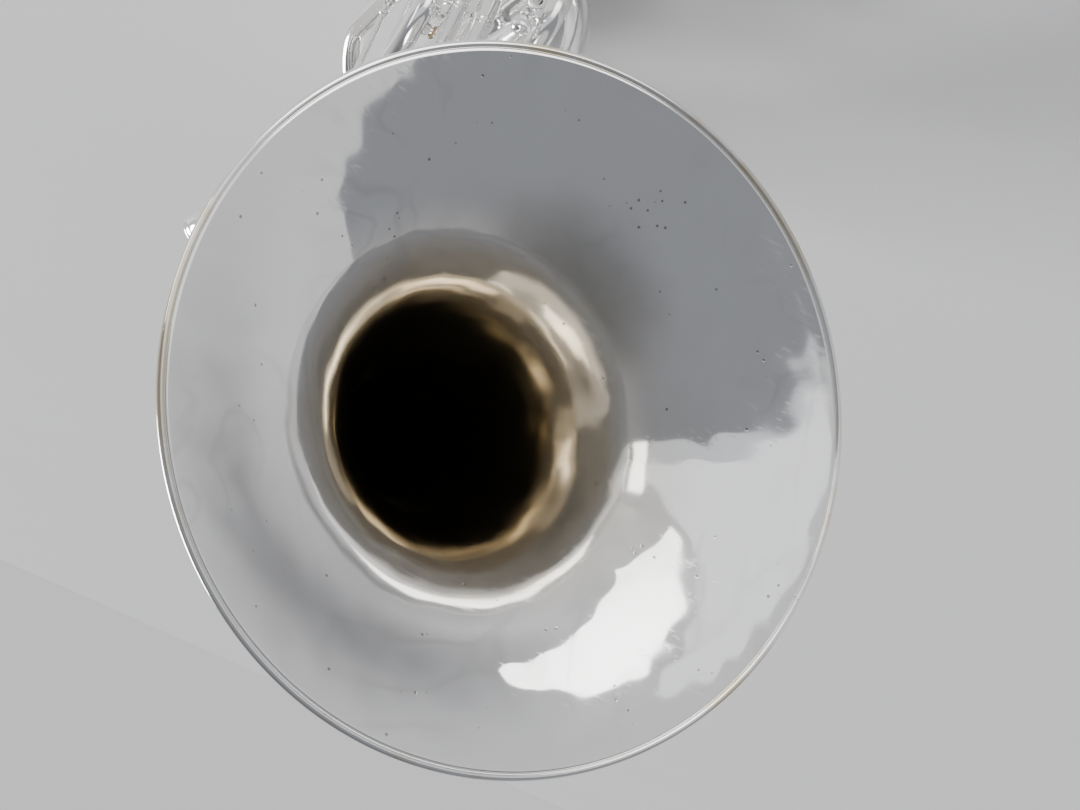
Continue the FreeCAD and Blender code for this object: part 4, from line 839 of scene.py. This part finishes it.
def plate(outline, origin, across, up, through, thick, ease=0.25):
    """A flat plate from its outline in (across, up), with its edges eased."""
    outline = rounded([(u + 100, v, 0.8) for u, v in outline])
    flat = np.array([[u - 100, v] for u, v in outline])
    middle = flat.mean(axis=0)
    rings = []
    for depth, shrink in ((0, 1e3), (0, ease), (ease, 0), (thick - ease, 0), (thick, ease), (thick, 1e3)):
        inward = middle - flat
        reach = np.linalg.norm(inward, axis=1, keepdims=True)
        moved = flat + inward / reach * np.minimum(shrink, reach)
        rings.append([tuple(origin + across * u + up * v + through * depth) for u, v in moved])
    return grid(rings)


outline = [(1.6, -4.2, 0), (3.5, -4.2, 0), (3.3, -3.0, 0.4), (2.9, -1.6, 0.5), (2.9, -0.8, 0.3),
           (3.0, -0.3, 0.2), (2.6, 0, 0.2), (1.6, 0, 0.15)]
nipple = turned(outline, key_seat, Y, 64)
outline = [(HINGE + across, up) for across, up in (
    (-3.0, -5.6), (-2.2, 0.6), (-1.2, 2.1), (1.2, 2.1), (2.2, 0.6), (3.0, -5.6))]
lugs = [plate(outline, key_point(0, spoke), ALONG, Y, SPOKE, LUG_WALL, 0.2)
        for spoke in (-LUG_GAP - LUG_WALL, LUG_GAP)]
base = plate([(HINGE - 3.4, -5.0), (HINGE + 3.4, -5.0), (HINGE + 3.4, 5.0), (HINGE - 3.4, 5.0)],
             key_point(0, 0, -4.4), ALONG, SPOKE, Y, 1.5, 0.3)
piece("water_key_mount", joined(nipple, base, *lugs), "tuning_slide", "silver_plate", "water_key_saddle")
outline = [(0, -5.4), (1.75, -5.4, 0.5), (1.85, -4.75, 0.2), (0.98, -4.72, 0), (0.98, 5.1, 0.2), (0, 5.1)]
piece("water_key_hinge_pin", turned(outline, key_point(HINGE), SPOKE, 40, ease=0.1), "tuning_slide",
      "spring_steel", "water_key_pin")
outline = [(1.05, -1.6, 0.1), (2.05, -1.6, 0.25), (2.05, 1.6, 0.25), (1.05, 1.6, 0.1)]
barrel = turned(outline, key_point(HINGE), SPOKE, 48)
ARM_POINTS, ARM_LENGTH, ARM_LIFT = 34, 22, 2.1
arm_line = [key_point(along, 0, ARM_LIFT + 0.5 * math.sin(math.pi * max(0.0, along - HINGE) / 15) ** 2)
            for along in np.linspace(0, ARM_LENGTH, ARM_POINTS)]
arm_width = [1.6 + 0.5 * math.cos(2 * math.pi * index / (ARM_POINTS - 1)) for index in range(ARM_POINTS)]
arm = sweep(arm_line, arm_width, 0, 28, flat=0.40, side=SPOKE)
outline = [(0, 2.9), (1.4, 2.9, 0.4), (3.2, 2.35, 0.8), (4.2, 1.6, 0.5), (4.2, 0.9, 0.2), (3.5, 0.9, 0.1),
           (3.45, 2.0, 0.1), (0, 2.0)]
cup = turned(outline, key_seat, Y, 72)
outline = [(0, 1.5), (3.6, 1.35, 0.5), (4.5, 1.7, 0.4), (4.6, 2.2, 0.4), (4.1, 2.6, 0.5), (2.0, 2.35, 1.2),
           (0, 2.25)]
thumb = turned(outline, key_point(THUMB), Y, 64)
piece("water_key_arm", joined(barrel, arm, cup, thumb), "water_key", "silver_plate", "water_key_lever")


def crumbly(angles, radius, height):
    """The cork's cut edge, slightly torn."""
    return (0.05 * np.sin(angles * 11 + height * 4) + 0.04 * np.sin(angles * 23)) * (radius > 2.5)


outline = [(0, 0.06), (3.0, 0.06, 0.3), (3.38, 0.5, 0.3), (3.38, 1.95, 0.1), (0, 1.95)]
piece("water_key_cork_pad", turned(outline, key_seat, Y, 72, crumbly), "water_key", "cork", "water_key_cork")
COIL_STEPS, COIL_RADIUS, COIL_PITCH = 24, 1.55, 0.62
spring_line = []
for index in range(61):
    turn = 2 * math.pi * index / COIL_STEPS
    around = (ALONG * math.sin(turn) + Y * math.cos(turn)) * COIL_RADIUS
    spring_line.append(key_point(HINGE, 1.95 + COIL_PITCH * index / COIL_STEPS) + around)
tail = [key_point(HINGE + reach, 2.0, COIL_RADIUS) for reach in (9.0, 6.0, 3.0, 0.6)]
piece("water_key_spring_wire", sweep(tail + spring_line, 0.28, 0, 12), "water_key", "spring_steel",
      "water_key_spring")

# ---------------------------------------- finger hook and lyre socket
HOOK_BACK, HOOK_BEND, HOOK_TURN = 186.0, 12.0, math.radians(215)
hook_middle = at(HOOK_BACK, LEAD_SIDE, LEAD_DROP) + Z * (SLEEVE_OUTER + HOOK_BEND)
hook_line = arc(hook_middle, -Z * HOOK_BEND, X * HOOK_BEND, HOOK_TURN, 73)
hook_width = [2.5 - 0.7 * min(1.0, index / 30) for index in range(len(hook_line))]
horn_piece("finger_hook_bar", joined(
    sweep(hook_line, hook_width, 0, 36), ball(hook_line[-1], 2.5),
    foot(at(HOOK_BACK, LEAD_SIDE, LEAD_DROP), Z, X, SLEEVE_OUTER, 4.6, 1.0)), "finger_hook")
LYRE = at(66, 49, 192)
outline = [(2.6, -24, 0.2), (4.2, -24, 0.4), (4.2, -3.6, 0.2), (5.0, -3.0, 0.5), (5.0, -0.4, 0.5),
           (4.5, 0, 0.3), (2.9, 0, 0.3), (2.6, -0.6, 0.1)]
SCREW = LYRE - X * 9
boss = turned([(1.6, 3.6, 0), (3.0, 3.6, 0), (2.9, 5.8, 0.3), (2.6, 6.1, 0.2), (1.6, 6.1, 0)], SCREW, Z, 48)
web = plate([(-9.4, -2.4), (9.4, -2.4), (9.4, 2.4), (-9.4, 2.4)], at(81, 45.3, 192), X * 0.42, Z, Y, 4.2, 0.3)
horn_piece("lyre_socket_tube", joined(turned(outline, LYRE, X, 72), boss, web), "lyre_socket")


def grip(angles, radius, height):
    """Fine notches round the thumb screw's head."""
    return -0.22 * (np.abs(np.sin(angles * 14)) < 0.45) * (radius > 4.4)


outline = [(0, 2.7), (1.45, 2.7, 0.3), (1.45, 6.7, 0.1), (2.5, 6.8, 0.2), (2.7, 7.3, 0.3), (3.7, 7.9, 0.8),
           (4.7, 9.0, 0.8), (5.0, 10.3, 0.5), (5.0, 12.0, 0.5), (4.7, 13.4, 0.8), (3.6, 15.0, 1.2), (0, 15.9)]
piece("lyre_thumb_screw_head", turned(outline, SCREW, Z, 168, grip), "lyre_thumb_screw", "silver_plate",
      "lyre_screw")

# ---------------------------------------- floor, light and camera
REACH = 6.0
BELL_MIDDLE = RIM_CENTRE * MM
floor_mesh = bpy.data.meshes.new("floor")
floor_mesh.from_pydata([(-REACH, -REACH, 0), (REACH, -REACH, 0), (REACH, REACH, 0), (-REACH, REACH, 0)], [],
                       [(0, 1, 2, 3)])
floor = bpy.data.objects.new("floor", floor_mesh)
bpy.context.scene.collection.objects.link(floor)
pale = Surface("pale_floor", Roughness=0.75)
floor_mesh.materials.append(pale.finish(Base_Color=pale.mix(
    pale.noise(0.8, 2), (0.66, 0.66, 0.67, 1), (0.62, 0.62, 0.63, 1))))


def towards(turn, rise):
    """A direction from degrees round from +X towards +Y, and degrees up."""
    turn, rise = math.radians(turn), math.radians(rise)
    return Vector((math.cos(rise) * math.cos(turn), math.cos(rise) * math.sin(turn), math.sin(rise)))


def aimed(direction, roll=0.0):
    """A rotation that looks back from a direction, rolled by some degrees."""
    return (-direction).to_track_quat("-Z", "Y") @ Quaternion(Z, math.radians(roll))


def soft_light(name, direction, away, width, height, watts, colour=(1, 1, 1), roll=0.0, spread=180.0):
    """A softbox that lights the bell and shows in it, but that the camera doesn't see."""
    data = bpy.data.lights.new(name, "AREA")
    data.shape = "RECTANGLE"
    data.size, data.size_y = width, height
    data.energy, data.color, data.spread = watts, colour, math.radians(spread)
    lamp = bpy.data.objects.new(name, data)
    lamp.location = BELL_MIDDLE + direction * away
    lamp.rotation_mode = "QUATERNION"
    lamp.rotation_quaternion = aimed(direction, roll)
    lamp.visible_camera = False
    bpy.context.scene.collection.objects.link(lamp)


soft_light("low_front_box", towards(14, -41), 0.30, 0.26, 0.14, 0.20, (1.0, 0.99, 0.97), spread=115)
soft_light("wide_front_box", towards(30, -12), 0.43, 0.70, 0.17, 0.21, (0.93, 0.96, 1.0), roll=11.5)
soft_light("side_strip", towards(73, -6), 0.60, 0.10, 0.26, 0.30)
sun_data = bpy.data.lights.new("overhead", "SUN")
sun_data.energy, sun_data.angle = 5.4, math.radians(32)
sun = bpy.data.objects.new("overhead", sun_data)
sun.rotation_mode = "QUATERNION"
sun.rotation_quaternion = aimed(towards(140, 31))
bpy.context.scene.collection.objects.link(sun)

world = bpy.data.worlds.new("studio")
world.use_nodes = True
bpy.context.scene.world = world
sky = world.node_tree
outwards = sky.nodes.new("ShaderNodeTexCoord").outputs["Generated"]


def shade(before, direction, inner, outer, colour):
    """The studio's colour, blended into another one from outer to inner degrees off a direction."""
    facing = sky.nodes.new("ShaderNodeVectorMath")
    facing.operation = "DOT_PRODUCT"
    sky.links.new(outwards, facing.inputs[0])
    facing.inputs[1].default_value = direction
    share = sky.nodes.new("ShaderNodeMapRange")
    share.interpolation_type = "SMOOTHSTEP"
    sky.links.new(facing.outputs["Value"], share.inputs["Value"])
    share.inputs["From Min"].default_value = math.cos(math.radians(outer))
    share.inputs["From Max"].default_value = math.cos(math.radians(inner))
    blend = sky.nodes.new("ShaderNodeMix")
    blend.data_type = "RGBA"
    sky.links.new(share.outputs["Result"], blend.inputs[0])
    if isinstance(before, bpy.types.NodeSocket):
        sky.links.new(before, blend.inputs[6])
    else:
        blend.inputs[6].default_value = before
    blend.inputs[7].default_value = colour
    return blend.outputs[2]


pale_side = (0.77, 0.77, 0.78, 1)
studio = shade(pale_side, X, 62, 118, (0.28, 0.29, 0.315, 1))
studio = shade(studio, Z, 16, 60, (0.17, 0.175, 0.185, 1))
sky.links.new(studio, sky.nodes["Background"].inputs["Color"])

camera_data = bpy.data.cameras.new("camera")
camera_data.sensor_width, camera_data.lens = 36.0, 56.67
camera = bpy.data.objects.new("camera", camera_data)
bpy.context.scene.collection.objects.link(camera)
bpy.context.scene.camera = camera
camera.matrix_world = Matrix.LocRotScale(
    BELL_MIDDLE + Vector((0.62535, 0.21923, 0.18066)), aimed(towards(19.697, 15.34), -157.34), None)
